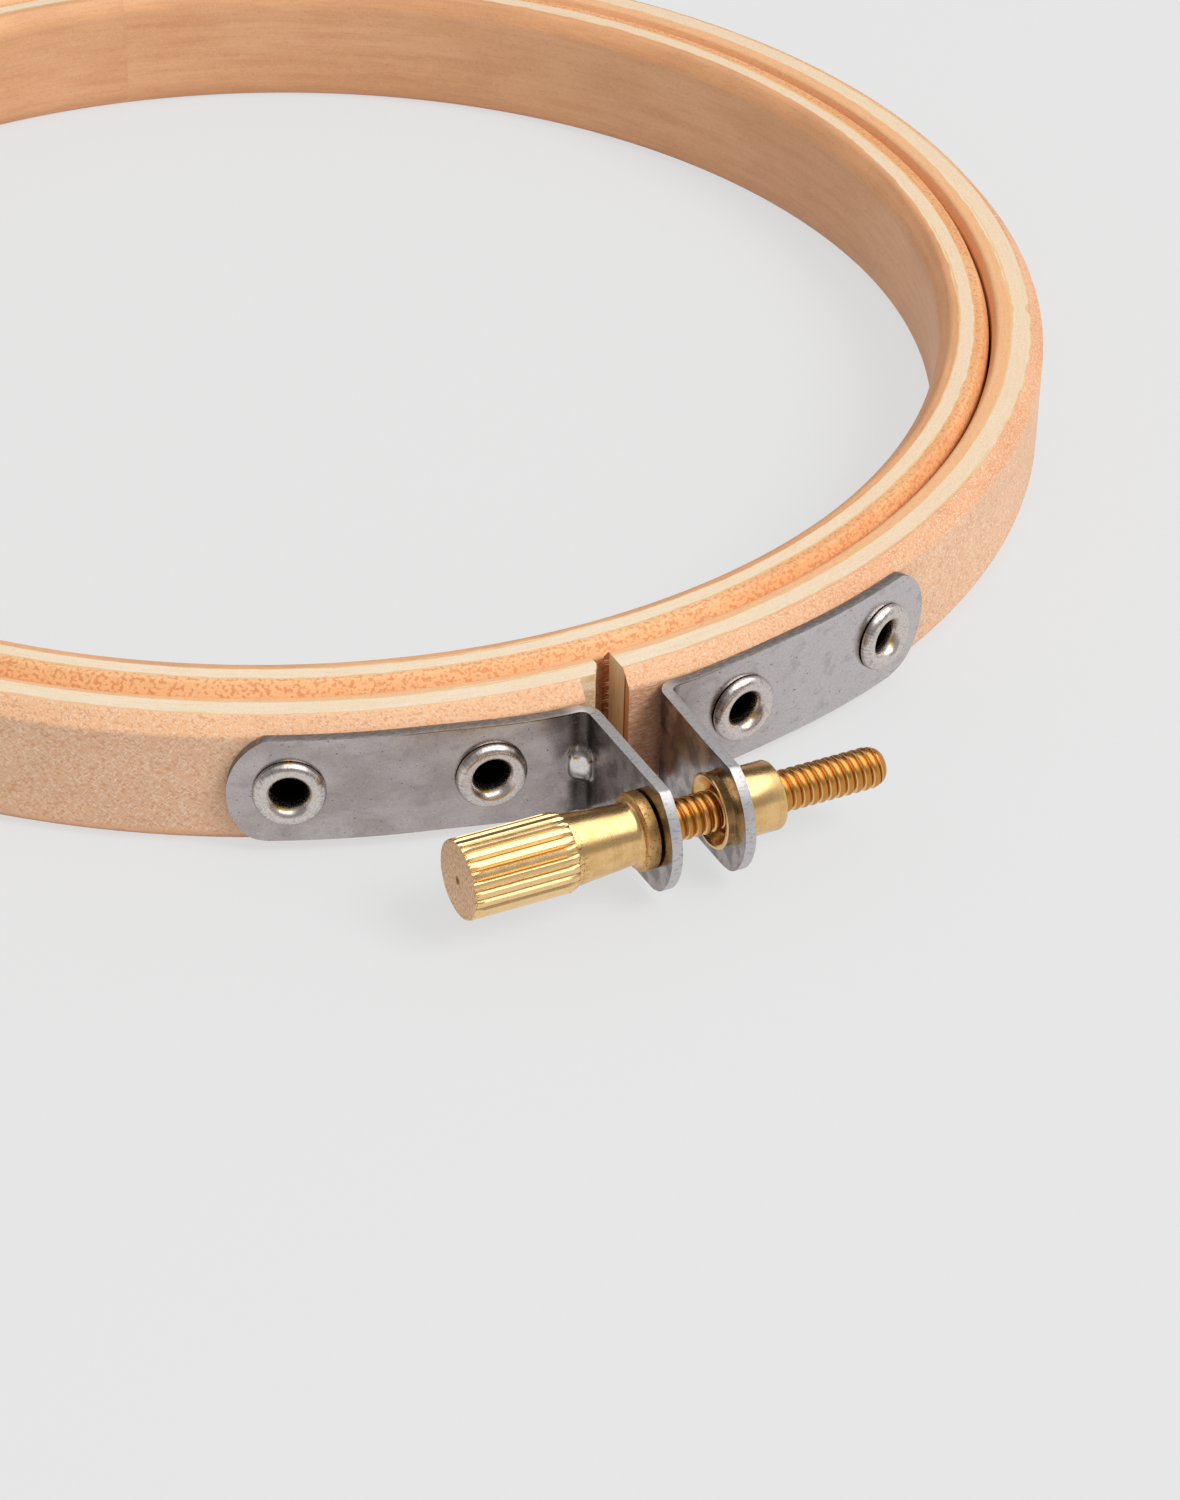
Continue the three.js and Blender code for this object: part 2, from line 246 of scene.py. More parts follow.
def painted(tree, colour, *coats):
    # A colour under coats of (colour, mask), the last on top
    for coat, cover in coats:
        colour = add(tree, "Mix", {0: cover, 6: colour, 7: coat}, 2, data_type="RGBA")
    return colour


def summed(tree, base, *parts):
    # A base value with others added, each as (value, weight)
    for value, weight in parts:
        base = add(tree, "Math", {0: value, 1: weight, 2: base}, operation="MULTIPLY_ADD")
    return base


def apart(tree, value, middle=0.0):
    # How far a value is from a middle, on either side
    return add(tree, "Math", {0: summed(tree, -middle, (value, 1.0))}, operation="ABSOLUTE")


def streaks(tree, place, along, across, detail=3.0, shift=0.0):
    # Noise drawn out along the first axis, its two lengths in the units of place
    inputs = {0: place, 1: (1 / along, 1 / across, 1 / across), 2: (shift, shift, shift)}
    scaled = add(tree, "VectorMath", inputs, operation="MULTIPLY_ADD")
    return add(tree, "TexNoise", {"Vector": scaled, "Scale": 1.0, "Detail": detail})


def speckles(tree, place, size, threshold, share, shift):
    # Small separate marks: the tops of a fine noise
    return mask(tree, (streaks(tree, place, *size, detail=1.0, shift=shift), *threshold), share=share)


def wood(look):
    # Rotary-cut beech veneer, bent, glued and sanded but bare. It is matt, with the reddish flecks of beech
    # rays and short pale fibres that the sanding raised; both are drawn a little coarser than life, or they
    # would blur away. Its "grain" attribute gives millimetres along the ring, out from its centre and up.
    material, tree = newMaterial(look["name"])
    grain = add(tree, "Attribute", out="Vector", attribute_name="grain")
    along, radius, height = add(tree, "SeparateXYZ", {0: grain}).node.outputs
    across, back = add(tree, "SeparateXYZ", {0: inMillimetres(tree)}).node.outputs[:2]
    fromMiddle = apart(tree, height, rings["height"] / 2)
    # Painted shade: the rims are painted darker from the split towards the right
    top = painted(tree, look["edge"], (look["edgeShadedRight"], mask(tree, (across, -5, 30))))
    # Cloudy patches and long faint streaks
    cloud = streaks(tree, grain, 9.0, 3.5, detail=2.0, shift=7.0)
    fine = streaks(tree, grain, 2.2, 0.16)
    colour = painted(
        tree, look["face"],
        (top, mask(tree, (fromMiddle, 3.65, 4.0))),
        (look["cloud"], mask(tree, (cloud, 0.35, 0.65), share=look["cloudShare"])),
        (look["streak"], mask(tree, (fine, 0.42, 0.75), share=look["streakShare"])),
    )
    if "band" in look:  # ribbons of redder wood, where the knife crossed the tree's rings
        for length, width, share, shift in ((16.0, 0.8, 0.24, 97.0), (5.0, 0.4, 0.15, 113.0)):
            ribbon = streaks(tree, grain, length, width, shift=shift)
            colour = painted(tree, colour, (look["band"], mask(tree, (ribbon, 0.42, 0.72), share=share)))
    flecks = speckles(tree, grain, look["fleckSize"], look["fleckFrom"], look["fleckShare"], 19.0)
    colour = painted(tree, colour, (look["fleck"], flecks))
    # The fibres lie both ways across the grain
    for side, shift in ((1.0, 31.0), (-1.0, 57.0)):
        tilt, lean = summed(tree, height, (along, side)), summed(tree, along, (height, -side))
        slanted = add(tree, "CombineXYZ", {0: tilt, 1: lean, 2: radius})
        fibres = speckles(tree, slanted, (0.5, 0.13), (0.55, 0.68), look["fibreShare"], shift)
        colour = painted(tree, colour, (look["fibre"], fibres))
        flecks = summed(tree, flecks, (fibres, -1.0))
    if "paintedShade" in look:  # between the ears it is painted a darker, warmer brown as painted shade, and its hairs stand up nearly level
        beside = apart(tree, across)
        # Painted shade between the ears, where the clamp closes over the split
        near = mask(tree, (beside, 4.6, 2.6), (fromMiddle, 4.2, 3.6), (back, -40, -45), share=0.5)
        hairs = speckles(tree, grain, (0.5, 0.075), (0.5, 0.62), near, 83.0)
        colour = painted(tree, colour, (look["paintedShade"], near), ("#f7e2cb", hairs))
    # The next ply runs over a wavy glue line, which itself wanders slowly along the ring
    wave = streaks(tree, grain, 1.6, 6.0, detail=4.0, shift=43.0)
    wander = streaks(tree, grain, 45.0, 300.0, detail=0.0, shift=71.0)
    wavyRadius = summed(tree, radius, (wave, 0.34), (wander, 1.2))
    if "pinch" in look:  # where the core is scarfed, its two glue lines draw together
        inwards = summed(tree, -sum(rings["outside"]["joints"]) / 2, (radius, 1.0))
        near = mask(tree, (apart(tree, along, look["pinch"]), 0.9, 0.1), share=0.55)
        wavyRadius = summed(tree, wavyRadius, (inwards, near))
    onEdge = mask(tree, (fromMiddle, 4.3, 4.6))
    for joint, side, neighbour in look["joints"]:
        line = joint + 0.77  # where the two noises' middles bring it
        before = mask(tree, (wavyRadius, line - 0.08, line), share=onEdge)
        after = mask(tree, (wavyRadius, line, line + 0.08), share=onEdge)
        beyond = after if side > 0 else summed(tree, onEdge, (before, -1.0))
        glue = summed(tree, before, (after, -1.0))
        colour = painted(tree, colour, (neighbour, beyond), ("#e8c084", glue))
    raised = summed(tree, fine, (flecks, -1.0))
    return finished(material, colour, look["roughness"], raised, 0.03, 0.7)


def sawnEnd():
    # Beech end grain off the saw: duller than the sides, with upright tooth marks and a dark glue line
    material, tree = newMaterial("sawn_beech_end")
    grain = add(tree, "Attribute", out="Vector", attribute_name="grain")
    radius = add(tree, "SeparateXYZ", {0: grain}, "Y")
    teeth = add(tree, "VectorMath", {0: grain, 1: (3.0, 7.0, 0.6)}, operation="MULTIPLY")
    teeth = add(tree, "TexNoise", {"Vector": teeth, "Scale": 1.0, "Detail": 3.0})
    first, second = rings["sawnJoints"]
    outer = mask(tree, (radius, second, second + 0.1))
    colour = painted(
        tree, "#e0bf93",
        ("#edd2a9", mask(tree, (teeth, 0.3, 0.7))),
        ("#b9774a", mask(tree, (radius, first, first - 0.2))),
        ("#dd9a60", outer),
        ("#95502f", summed(tree, outer, (mask(tree, (radius, second + 0.2, second + 0.3)), -1.0))),
    )
    return finished(material, colour, 0.8, teeth, 0.04, 0.8)


# Rings

rings = {
    "steps": 288,  # round the whole circle
    "height": 10.0,
    "round": 0.2,  # sanded corners
    "inside": {
        "inner": 50.65,
        "outer": 54.58,
        "joints": (52.22, 53.3),
        "chamfers": ((1.0, 1.1, 0.75), (0.72, 1.0)),  # wide, high, and how round
        "sanding": (53.86, 0.2),  # the corner's radius, and how far it wanders
    },
    "outside": {
        "inner": 54.78,
        "outer": 58.71,
        "joints": (56.15, 57.55),
        "chamfers": ((0.77, 0.85), (0.98, 1.15)),
        "sanding": (55.55, -0.38),
    },
    "rightEnd": 0.85,  # the saw cut, across the split
    "leftEnds": (-0.55, -0.55, -2.4),  # where each ply of the outer ring ends; the last is chipped away
    "break": (-0.55, 56.45, 0.6),  # the core's slanting broken end: where it starts, and its slope
    "coreTears": (18, 55.9, 57.4),  # how many fibres stand on the break, and from where to where
    "veneerTears": (44, 9.6, 2.6),  # and down the inner ply's sawn end
    "seams": (math.radians(171), math.radians(188), math.radians(179)),  # where a ply's two ends meet
    "scarf": math.radians(62.4),  # where the outer ring's core is scarfed
    "drill": (1.62, 2.32),  # radii of an eyelet's hole and of its counterbore
    "drillSink": 0.57,
    "sawnJoints": (55.75, 57.9),  # the core's two sides, as the sawn end shows them
}


def plyOutlines(ring):
    # The sections of a ring's three plies, from the inside out, each clockwise from its lower inner corner
    height = rings["height"]
    inner, outer = ring["inner"], ring["outer"]
    first, second = ring["joints"]
    (inWide, inHigh, *inRound), (outWide, outHigh) = ring["chamfers"]
    return (
        [
            (inner, inHigh, *inRound), (inner, height - inHigh, *inRound), (inner + inWide, height, *inRound),
            (first, height, 0), (first, 0, 0), (inner + inWide, 0, *inRound),
        ],
        [(first, 0, 0), (first, height, 0), (second, height, 0), (second, 0, 0)],
        [
            (second, 0, 0), (second, height, 0), (outer - outWide, height),
            (outer, height - outHigh), (outer, outHigh), (outer - outWide, 0),
        ],
    )


def atAngle(angle, radius, height):
    # A place on the rings: the angle is 0 at the split and grows to the right
    return centre + Vector((math.sin(angle) * radius, -math.cos(angle) * radius, height)) * mm


def atLine(x, out, height):
    # A place beside the split: x across it, and how far out from the rings' centre
    return centre + Vector((x, -out, height)) * mm


def radial(angle):
    return Vector((math.sin(angle), -math.cos(angle), 0))


def spunPly(name, outline, start=0.0, sweep=fullTurn):
    points = [atAngle(start, radius, height) for radius, height in rounded(outline, rings["round"], 5)]
    piece = drawn(name, points)
    bpy.ops.mesh.select_all(action="SELECT")
    bpy.ops.mesh.remove_doubles(threshold=0.002 * mm)
    if sweep < fullTurn:
        bpy.ops.mesh.edge_face_add()
    spin(sweep, centre, up, round(rings["steps"] * sweep / fullTurn))
    weld(piece)
    return piece


def sand(piece, corner, wander):
    # The chamfer in the groove was sanded by hand, so its top and bottom corners wander round the ring
    reach = 0.4  # how far from the corner its rounding goes
    for vertex in piece.data.vertices:
        place = vertex.co - centre
        radius = math.hypot(place.x, place.y)
        onRim = abs(place.z / mm - rings["height"] / 2) > 4.5
        if onRim and abs(radius / mm - corner) < reach:
            shift = wander * math.sin(math.atan2(place.x, -place.y) + math.radians(8))
            vertex.co += Vector((place.x, place.y, 0)) * (shift * mm / radius)


def sawn(piece, place, direction):
    # Saws one end of a split ply across, and gives the cut the second material
    reach = 9 * mm  # only the end's own side is cut
    edit(piece)
    pick(piece, lambda co: 0 < co.x * direction[0] < reach and co.y < centre.y - 40 * mm)
    bpy.ops.mesh.bisect(plane_co=place, plane_no=direction, use_fill=True, clear_inner=True)
    piece.active_material_index = 1
    bpy.ops.object.material_slot_assign()
    bpy.ops.object.mode_set(mode="OBJECT")


def splinters(piece, spots, seed, skin=None):
    # Fibres torn out of a broken end, one at each (x, out, height), pointing across the gap to its side
    spread = random.Random(seed)
    fibres = []
    for x, out, height, side, length in spots:
        deselect()
        radius = spread.uniform(0.05, 0.09) * mm
        turn = (0, math.radians(90 * side - spread.uniform(-5, 30)), math.radians(spread.uniform(-25, 20)))
        place = atLine(x, out, height)
        depth = length * mm
        bpy.ops.mesh.primitive_cone_add(
            vertices=5, radius1=radius, depth=depth, location=place, rotation=turn
        )
        fibres.append(bpy.context.object)
        if skin:
            bpy.context.object.data.materials.append(skin)
    select(*fibres, piece)
    bpy.ops.object.join()


def tornCore():
    # Along the top of the core's broken left end
    spread = random.Random(4)
    start, kink, slope = rings["break"]
    count, first, last = rings["coreTears"]
    spots = []
    for i in range(count):
        out = first + (last - first) * i / (count - 1) + spread.uniform(-0.05, 0.05)
        x = start - 0.07 - slope * max(0, out - kink)
        height = rings["height"] - 0.03 - spread.uniform(0.04, 0.5)
        spots.append((x, out, height, 1, spread.uniform(0.2, 0.42)))
    return spots


def tornVeneer():
    # Down the inner ply's right end
    spread = random.Random(9)
    count, top, bottom = rings["veneerTears"]
    spots = []
    for i in range(count):
        length = spread.uniform(0.2, 0.6)
        out = rings["outside"]["inner"] + 0.87 - spread.uniform(0, 0.5)
        height = top + (bottom - top) * i / (count - 1) + spread.uniform(-0.1, 0.1)
        spots.append((rings["rightEnd"] + 0.05 - length / 2, out, height, -1, length))
    return spots


def markLathe(piece, place, axis):
    # Stores each vertex's radius and distance along the axis, in millimetres, and its direction from it
    side = axis.orthogonal().normalized()
    other = axis.cross(side)
    lathe = piece.data.attributes.new("lathe", "FLOAT_VECTOR", "POINT")
    around = piece.data.attributes.new("around", "FLOAT_VECTOR", "POINT")
    for vertex in piece.data.vertices:
        here = (vertex.co - place) / mm
        flat = here - axis * here.dot(axis)
        lathe.data[vertex.index].vector = (flat.length, here.dot(axis), 0)
        if flat.length > 0.01:  # on the axis itself there is no direction
            flat.normalize()
            around.data[vertex.index].vector = (flat.dot(side), flat.dot(other), 0)


def markGrain(piece, seam):
    # Stores how far along the ring, out from its centre and up each face corner lies, in millimetres
    mesh = piece.data
    places = np.empty(len(mesh.vertices) * 3)
    mesh.vertices.foreach_get("co", places)
    places = places.reshape(-1, 3) - np.array(centre)
    corners = np.empty(len(mesh.loops), dtype=np.int32)
    mesh.loops.foreach_get("vertex_index", corners)
    sizes = np.empty(len(mesh.polygons), dtype=np.int32)
    mesh.polygons.foreach_get("loop_total", sizes)
    middles = np.empty(len(mesh.polygons) * 3)
    mesh.polygons.foreach_get("center", middles)
    middles = np.repeat(middles.reshape(-1, 3) - np.array(centre), sizes, axis=0)
    middle = np.mod(np.arctan2(middles[:, 0], -middles[:, 1]) - seam, fullTurn)
    here = places[corners]
    angle = np.mod(np.arctan2(here[:, 0], -here[:, 1]) - seam, fullTurn)
    angle += fullTurn * np.round((middle - angle) / fullTurn)
    radius = np.hypot(here[:, 0], here[:, 1]) / mm
    grain = np.stack([angle * rings["outside"]["inner"], radius, here[:, 2] / mm], axis=1)
    attribute = mesh.attributes.new("grain", "FLOAT_VECTOR", "CORNER")
    attribute.data.foreach_set("vector", grain.astype(np.float32).ravel())


# Each ply's look. A joint is the radius where a neighbour's colour begins on the rims, its side and colour.
# The rims' colour towards the right is painted darker, as painted shade
palest = "#f1dcc0"
plain = {
    "fleckSize": (0.5, 0.14), "fleckFrom": (0.6, 0.7), "fleckShare": 0.25, "fleck": "#b97a52",
    "fibre": "#f3d3b0", "fibreShare": 0.2, "cloudShare": 0.5, "streakShare": 0.25, "roughness": 0.6,
}
core = {
    **plain, "face": palest, "edge": palest, "edgeShadedRight": "#eed1b0", "cloud": "#eed5b0", "streakShare": 0.4,
    "fleckShare": 0.12, "fibre": "#faeedb", "fibreShare": 0.35,
}
insideLooks = [
    {
        **plain, "name": "sanded_beech_inside", "face": "#deaa7e", "edge": "#eab07c", "edgeShadedRight": "#e6a874",
        "cloud": "#cf9668", "streak": "#c88d64", "band": "#bd7650", "fibreShare": 0.1, "roughness": 0.5,
        "joints": ((52.22, 1, palest),),
    },
    {
        **core, "name": "pale_core", "streak": "#e8c698",
        "joints": ((52.22, -1, "#e9ac77"), (53.3, 1, "#f0b67c")),
    },
    {
        **plain, "name": "flecked_beech", "face": "#d89a68", "edge": "#f6ba80", "edgeShadedRight": "#e6a467",
        "cloud": "#f8c48e", "streak": "#eba265", "fleckSize": (0.3, 0.27), "fleckFrom": (0.5, 0.62),
        "fleckShare": 0.6, "fleck": "#d2763f", "joints": ((53.3, -1, palest),),
    },
]
outsideLooks = [
    {
        **plain, "name": "orange_beech_inside", "face": "#e2aa78", "edge": "#f0b987", "edgeShadedRight": "#edb37f",
        "cloud": "#edb27c", "streak": "#e0a06a", "joints": ((56.15, 1, palest),),
    },
    {
        **core, "name": "pale_core_outside", "face": "#d0ad7c", "streak": "#e6c596",
        "joints": ((56.15, -1, "#efba86"), (57.55, 1, "#f1b98a")),
    },
    {
        **plain, "name": "stippled_beech", "face": "#dcb08c", "edge": "#f0b888", "edgeShadedRight": "#dc9b6b",
        "cloud": "#f3c39b", "cloudShare": 0.35, "streak": "#d9a37c", "paintedShade": "#cc7338",
        "fleckSize": (0.24, 0.2), "fleckFrom": (0.52, 0.66), "fleckShare": 0.42, "fleck": "#c47a4c",
        "fibre": "#f9e3cc", "fibreShare": 0.45, "joints": ((57.55, -1, palest),),
    },
]


def buildInnerRing():
    ring = rings["inside"]
    names = ("inner_ring_inner_ply", "inner_ring_core_ply", "inner_ring_outer_ply")
    for name, outline, look, seam in zip(names, plyOutlines(ring), insideLooks, rings["seams"]):
        piece = spunPly("bent_" + name, outline)
        sand(piece, *ring["sanding"])
        markGrain(piece, seam)
        smooth(piece)
        piece.data.materials.append(wood(look))
        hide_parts(name)
        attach(piece, "inner_ring")


def drillHoles():
    # Stepped drills for the four eyelets: through, and wider from inside for the clinched end
    deep, wide = rings["drill"]
    past = 0.6  # how far the drill sticks out on both sides
    low, high = rings["outside"]["inner"] - past, rings["outside"]["outer"] + past
    sink = rings["outside"]["inner"] + rings["drillSink"]
    outline = [(0.001, low), (wide, low), (wide, sink), (deep, sink), (deep, high), (0.001, high)]
    first = turned("drill", outline, centre + up * bracketMiddle, radial(0), alongX, 40)
    drills = []
    for angle in bracket["eyelets"]:
        for side in (-1, 1):
            drill = duplicated(first, "drill")
            turnRound(drill, side * angle)
            drills.append(drill)
    bpy.data.objects.remove(first)
    select(*drills[1:], drills[0])
    bpy.ops.object.join()
    return drills[0]


def buildOuterRing():
    ring = rings["outside"]
    drill = drillHoles()
    names = ("outer_ring_inner_ply", "outer_ring_core_ply", "outer_ring_outer_ply")
    end = sawnEnd()
    start = 0.3 / ring["inner"]  # half a narrow slot, which the saw widens
    for i, (name, outline, look) in enumerate(zip(names, plyOutlines(ring), outsideLooks)):
        look["pinch"] = (rings["scarf"] - rings["seams"][i] + fullTurn) * ring["inner"]
        piece = spunPly("bent_" + name, outline, start, fullTurn - 2 * start)
        piece.data.materials.append(wood(look))
        piece.data.materials.append(end)
        sand(piece, *ring["sanding"])
        sawn(piece, (rings["rightEnd"] * mm, 0, 0), (1, 0, 0))
        sawn(piece, (rings["leftEnds"][i] * mm, 0, 0), (-1, 0, 0))
        if "core" in name:
            x, out, slope = rings["break"]
            sawn(piece, atLine(x, out, 0), (-1, slope, 0))
            splinters(piece, tornCore(), 4)
        if "inner_ply" in name:
            splinters(piece, tornVeneer(), 9, end)
        boolean(piece, duplicated(drill, "drill"), "DIFFERENCE")
        markGrain(piece, rings["seams"][i])
        smooth(piece)
        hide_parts(name)
        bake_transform(piece)
    bpy.data.objects.remove(drill)


# Clamp brackets

bracket = {
    "sheet": 0.78,
    "bendRadius": 1.05,  # to the middle of the sheet
    "ears": {  # the arc at the ear's end, which clips the corners: its radius, and how much lower it lies
        "right": (4.65, 0.15),
        "left": (4.9, 0.0),
    },
    "lowerCorner": 0.8,  # how softly the lower corners are rounded off
    "rows": 64,
    "tipLines": (14, 0.06),  # lines across a rounded end, and how far round its arc the first one lies
    "burr": 0.06,  # rounded edge of the sheet
    "dimple": {"reach": 1.05, "rise": 0.8, "long": 0.4, "softened": 1.9},  # long is half its straight part
    "strained": {  # how far use has drawn the ear's tip outwards, its bend outwards, and the bend down
        "right": (0.45, 0.7, -0.3),
        "left": (0.15, 0.0, -0.4),
    },
    "earRun": (-60.6, -53.0),  # from the screw's axis to the bend, along Y
    "pullFades": (7.5, 3.9),  # from no pull outwards to all of it, beside the split
    "dropFades": (14, 4),  # the same for what the bend is lowered
    "dropRun": 9.2,  # from the screw's axis to where the ear is lowered as much as the bend
    "tips": {  # the strap's rounded tip: its arc's radius, how much further out it lies, and how much lower
        "right": (4.35, 0.64, 0.0),
        "left": (4.9, 0.13, 0.27),
    },
    "beyondEyelet": 4.1,  # from the far eyelet's middle to the strap's tip
    "eyeletHole": 1.62,
    "eyelets": (math.radians(9.182), math.radians(22.307)),  # round the ring from the middle of the split
    "leftEarHole": 1.8,
    "rightEarHole": 2.12,
    "strapCut": (57, 62),  # from where to where the cutters of the holes reach
    "earCut": (1, 4),
}
bracketMiddle = (bracketLow.z + bracketHigh.z) / 2
bracketHalf = (bracketHigh.z - bracketLow.z) / 2
strapMiddle = ringOutside + 0.1 * mm + bracket["sheet"] * mm / 2


def endStations(radius, drop=0.0):
    # For each line across a rounded end, how far in from the tip it is, and its lowest and highest point
    radius, drop, soft = radius * mm, drop * mm, bracket["lowerCorner"] * mm
    last = math.asin(min((bracketHalf + drop) / radius, 0.999))
    lines, first = bracket["tipLines"]
    inwards = [radius * (1 - math.cos(last * (first + (1 - first) * i / lines))) for i in range(lines + 1)]
    corner = inwards[-1]
    inwards += [corner + 0.2 * mm * i for i in range(1, 6)]  # five more, for the rounding
    stations = []
    for inward in inwards:
        half = math.sqrt(radius ** 2 - max(radius - inward, 0) ** 2)
        near = max(soft - abs(half + drop - bracketHalf), 0)
        cut = near ** 2 / (4 * soft) * min((inwards[-1] - inward) / mm, 1)
        low = bracketMiddle - min(half + drop, bracketHalf) + cut
        stations.append((inward, low, bracketMiddle + min(half - drop, bracketHalf)))
    return stations


def stretch(before, after):
    # Moves a line of vertices from its old lowest and highest point to new ones
    (_, oldLow, oldHigh), (_, newLow, newHigh) = before, after
    ratio = (newHigh - newLow) / (oldHigh - oldLow)
    bpy.ops.transform.resize(value=(1, 1, ratio), center_override=(0, 0, oldLow))
    bpy.ops.transform.translate(value=(0, 0, newLow - oldLow))


def bendPlace():
    # The middle of the right bracket's bend, and how far round it the strap reaches
    bendRadius = bracket["bendRadius"] * mm
    x = bracketLow.x + bracket["sheet"] * mm / 2 + bendRadius
    y = centre.y - math.sqrt((strapMiddle + bendRadius) ** 2 - x ** 2)
    return Vector((x, y, 0)), math.atan2(x, centre.y - y)


def sheetStrip(name, tip):
    # The middle of the right bracket's sheet, spun line by line round strap and bend and drawn along the ear
    tipRadius, further, drop = bracket["tips"][tip]
    ends = endStations(tipRadius, drop)
    rows = bracket["rows"]
    bendCentre, bendTurn = bendPlace()
    outerFace = strapMiddle + 0.4 * mm
    tipTurn = bracket["eyelets"][1] + (bracket["beyondEyelet"] + further) * mm / outerFace
    low, high = ends[0][1:]
    across = Vector((math.sin(tipTurn), -math.cos(tipTurn), 0)) * strapMiddle
    piece = drawn(name, [centre + across + up * (low + (high - low) * i / rows) for i in range(rows + 1)])
    bpy.ops.mesh.select_all(action="SELECT")
    for here, there in zip(ends, ends[1:]):
        spin(-(there[0] - here[0]) / strapMiddle, centre, up)
        stretch(here, there)
    left = tipTurn - ends[-1][0] / strapMiddle - bendTurn
    fine = 1.2 * mm / strapMiddle  # beside the bend, where the dimple is pressed
    spin(-(left - fine), centre, up, 24)
    spin(-fine, centre, up, 8)
    spin(math.pi / 2 - bendTurn, bendCentre, up, 24)
    ends = endStations(*bracket["ears"][tip])[::-1]
    there = bracketLow.y + ends[0][0]
    steps = [0.12 * i for i in range(1, 9)]  # short ones beside the bend, then long ones to the ear's end
    steps += [steps[-1] + ((bendCentre.y - there) / mm - steps[-1]) * i / 4 for i in range(1, 5)]
    for before, after in zip([0] + steps, steps):
        bpy.ops.mesh.extrude_edges_move(TRANSFORM_OT_translate={"value": (0, (before - after) * mm, 0)})
    for before, after in zip(ends, ends[1:]):
        bpy.ops.mesh.extrude_edges_move(TRANSFORM_OT_translate={"value": (0, after[0] - before[0], 0)})
        stretch(before, after)
    bpy.ops.object.mode_set(mode="OBJECT")
    return piece


def passed(value, low, high):
    # 0 at low, 1 at high, and even in between
    return min(max((value - low) / (high - low), 0), 1)


def ramp(value, low, high):
    # The same, with a smooth start and end
    t = passed(value, low, high)
    return t * t * (3 - 2 * t)


def strain(piece, side):
    # Moves the bend and what is beside it. The ear's hole and the eyelets' holes stay in place
    tip, bend, down = bracket["strained"]["right" if side > 0 else "left"]
    hole, corner = bracket["earRun"]
    for vertex in piece.data.vertices:
        out, back = abs(vertex.co.x) / mm, vertex.co.y / mm
        along = (ramp(back, hole, corner) + passed(back, hole, corner)) / 2
        vertex.co.x += side * (tip + (bend - tip) * along) * mm * ramp(out, *bracket["pullFades"])
        lowered = passed(back - screwAxis.y / mm, 0, bracket["dropRun"])
        vertex.co.z += down * mm * lowered * ramp(out, *bracket["dropFades"])


def pressDimple(piece, side):
    # The stiffening dimple, pushed out of the inside corner of the bend
    dimple = bracket["dimple"]
    place = bendPlace()[0]
    diagonal = Vector((-1, 1, 0)).normalized()
    crown = place + diagonal * (bracket["bendRadius"] - bracket["sheet"] / 2) * mm + up * bracketMiddle
    crown.x *= side
    diagonal.x *= side
    nearest = min((vertex.co.copy() for vertex in piece.data.vertices), key=lambda co: (co - crown).length)

    def onCrown(co):
        away = co - nearest
        return math.hypot(away.x, away.y) < 0.01 * mm and abs(away.z) < dimple["long"] * mm

    edit(piece)
    pick(piece, onCrown)
    bpy.ops.transform.translate(
        value=-diagonal * dimple["rise"] * mm,
        use_proportional_edit=True,
        proportional_edit_falloff="SPHERE",
        proportional_size=dimple["reach"] * mm,
    )
    pick(piece, lambda co: (co - crown).length < dimple["softened"] * mm)
    bpy.ops.mesh.vertices_smooth(factor=0.5, repeat=6)
    bpy.ops.object.mode_set(mode="OBJECT")


def rod(radius, start, end, place, axis):
    # A cutter between two distances along an axis
    deselect()
    middle = place + axis * (start + end) / 2 * mm
    turn = axis.to_track_quat("Z", "Y").to_euler()
    bpy.ops.mesh.primitive_cylinder_add(
        vertices=48, radius=radius * mm, depth=(end - start) * mm, location=middle, rotation=turn
    )
    return bpy.context.object


def finishBracket(piece, side, earHole, skins):
    weld(piece)
    for skin in skins:
        piece.data.materials.append(skin)
    sheet, burr = bracket["sheet"] * mm, bracket["burr"] * mm
    applied(piece, "SOLIDIFY", thickness=sheet, offset=0, use_even_offset=True, material_offset_rim=1)
    pressDimple(piece, side)
    strain(piece, side)
    for angle in bracket["eyelets"]:
        start = centre + up * bracketMiddle
        cutter = rod(bracket["eyeletHole"], *bracket["strapCut"], start, radial(side * angle))
        boolean(piece, cutter, "DIFFERENCE")
    boolean(piece, rod(earHole, *bracket["earCut"], screwAxis, alongX * side), "DIFFERENCE")
    applied(piece, "BEVEL", width=burr, segments=2, limit_method="ANGLE", angle_limit=math.radians(50))
    smooth(piece, 40)


def buildBrackets():
    steel = steelSheet()
    edge = shearedEdge()
    right = sheetStrip("clamp_sheet_right", "right")
    left = sheetStrip("clamp_sheet_left", "left")
    edit(left)
    bpy.ops.mesh.select_all(action="SELECT")
    bpy.ops.transform.mirror(constraint_axis=(True, False, False), center_override=(0, 0, 0))
    bpy.ops.object.mode_set(mode="OBJECT")
    finishBracket(right, 1, bracket["rightEarHole"], (steel, edge))
    finishBracket(left, -1, bracket["leftEarHole"], (steel, edge))
    for piece, node, body in ((right, "right_bracket", "outer_ring"), (left, "left_bracket", "left_clamp")):
        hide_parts(node)
        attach(piece, body)


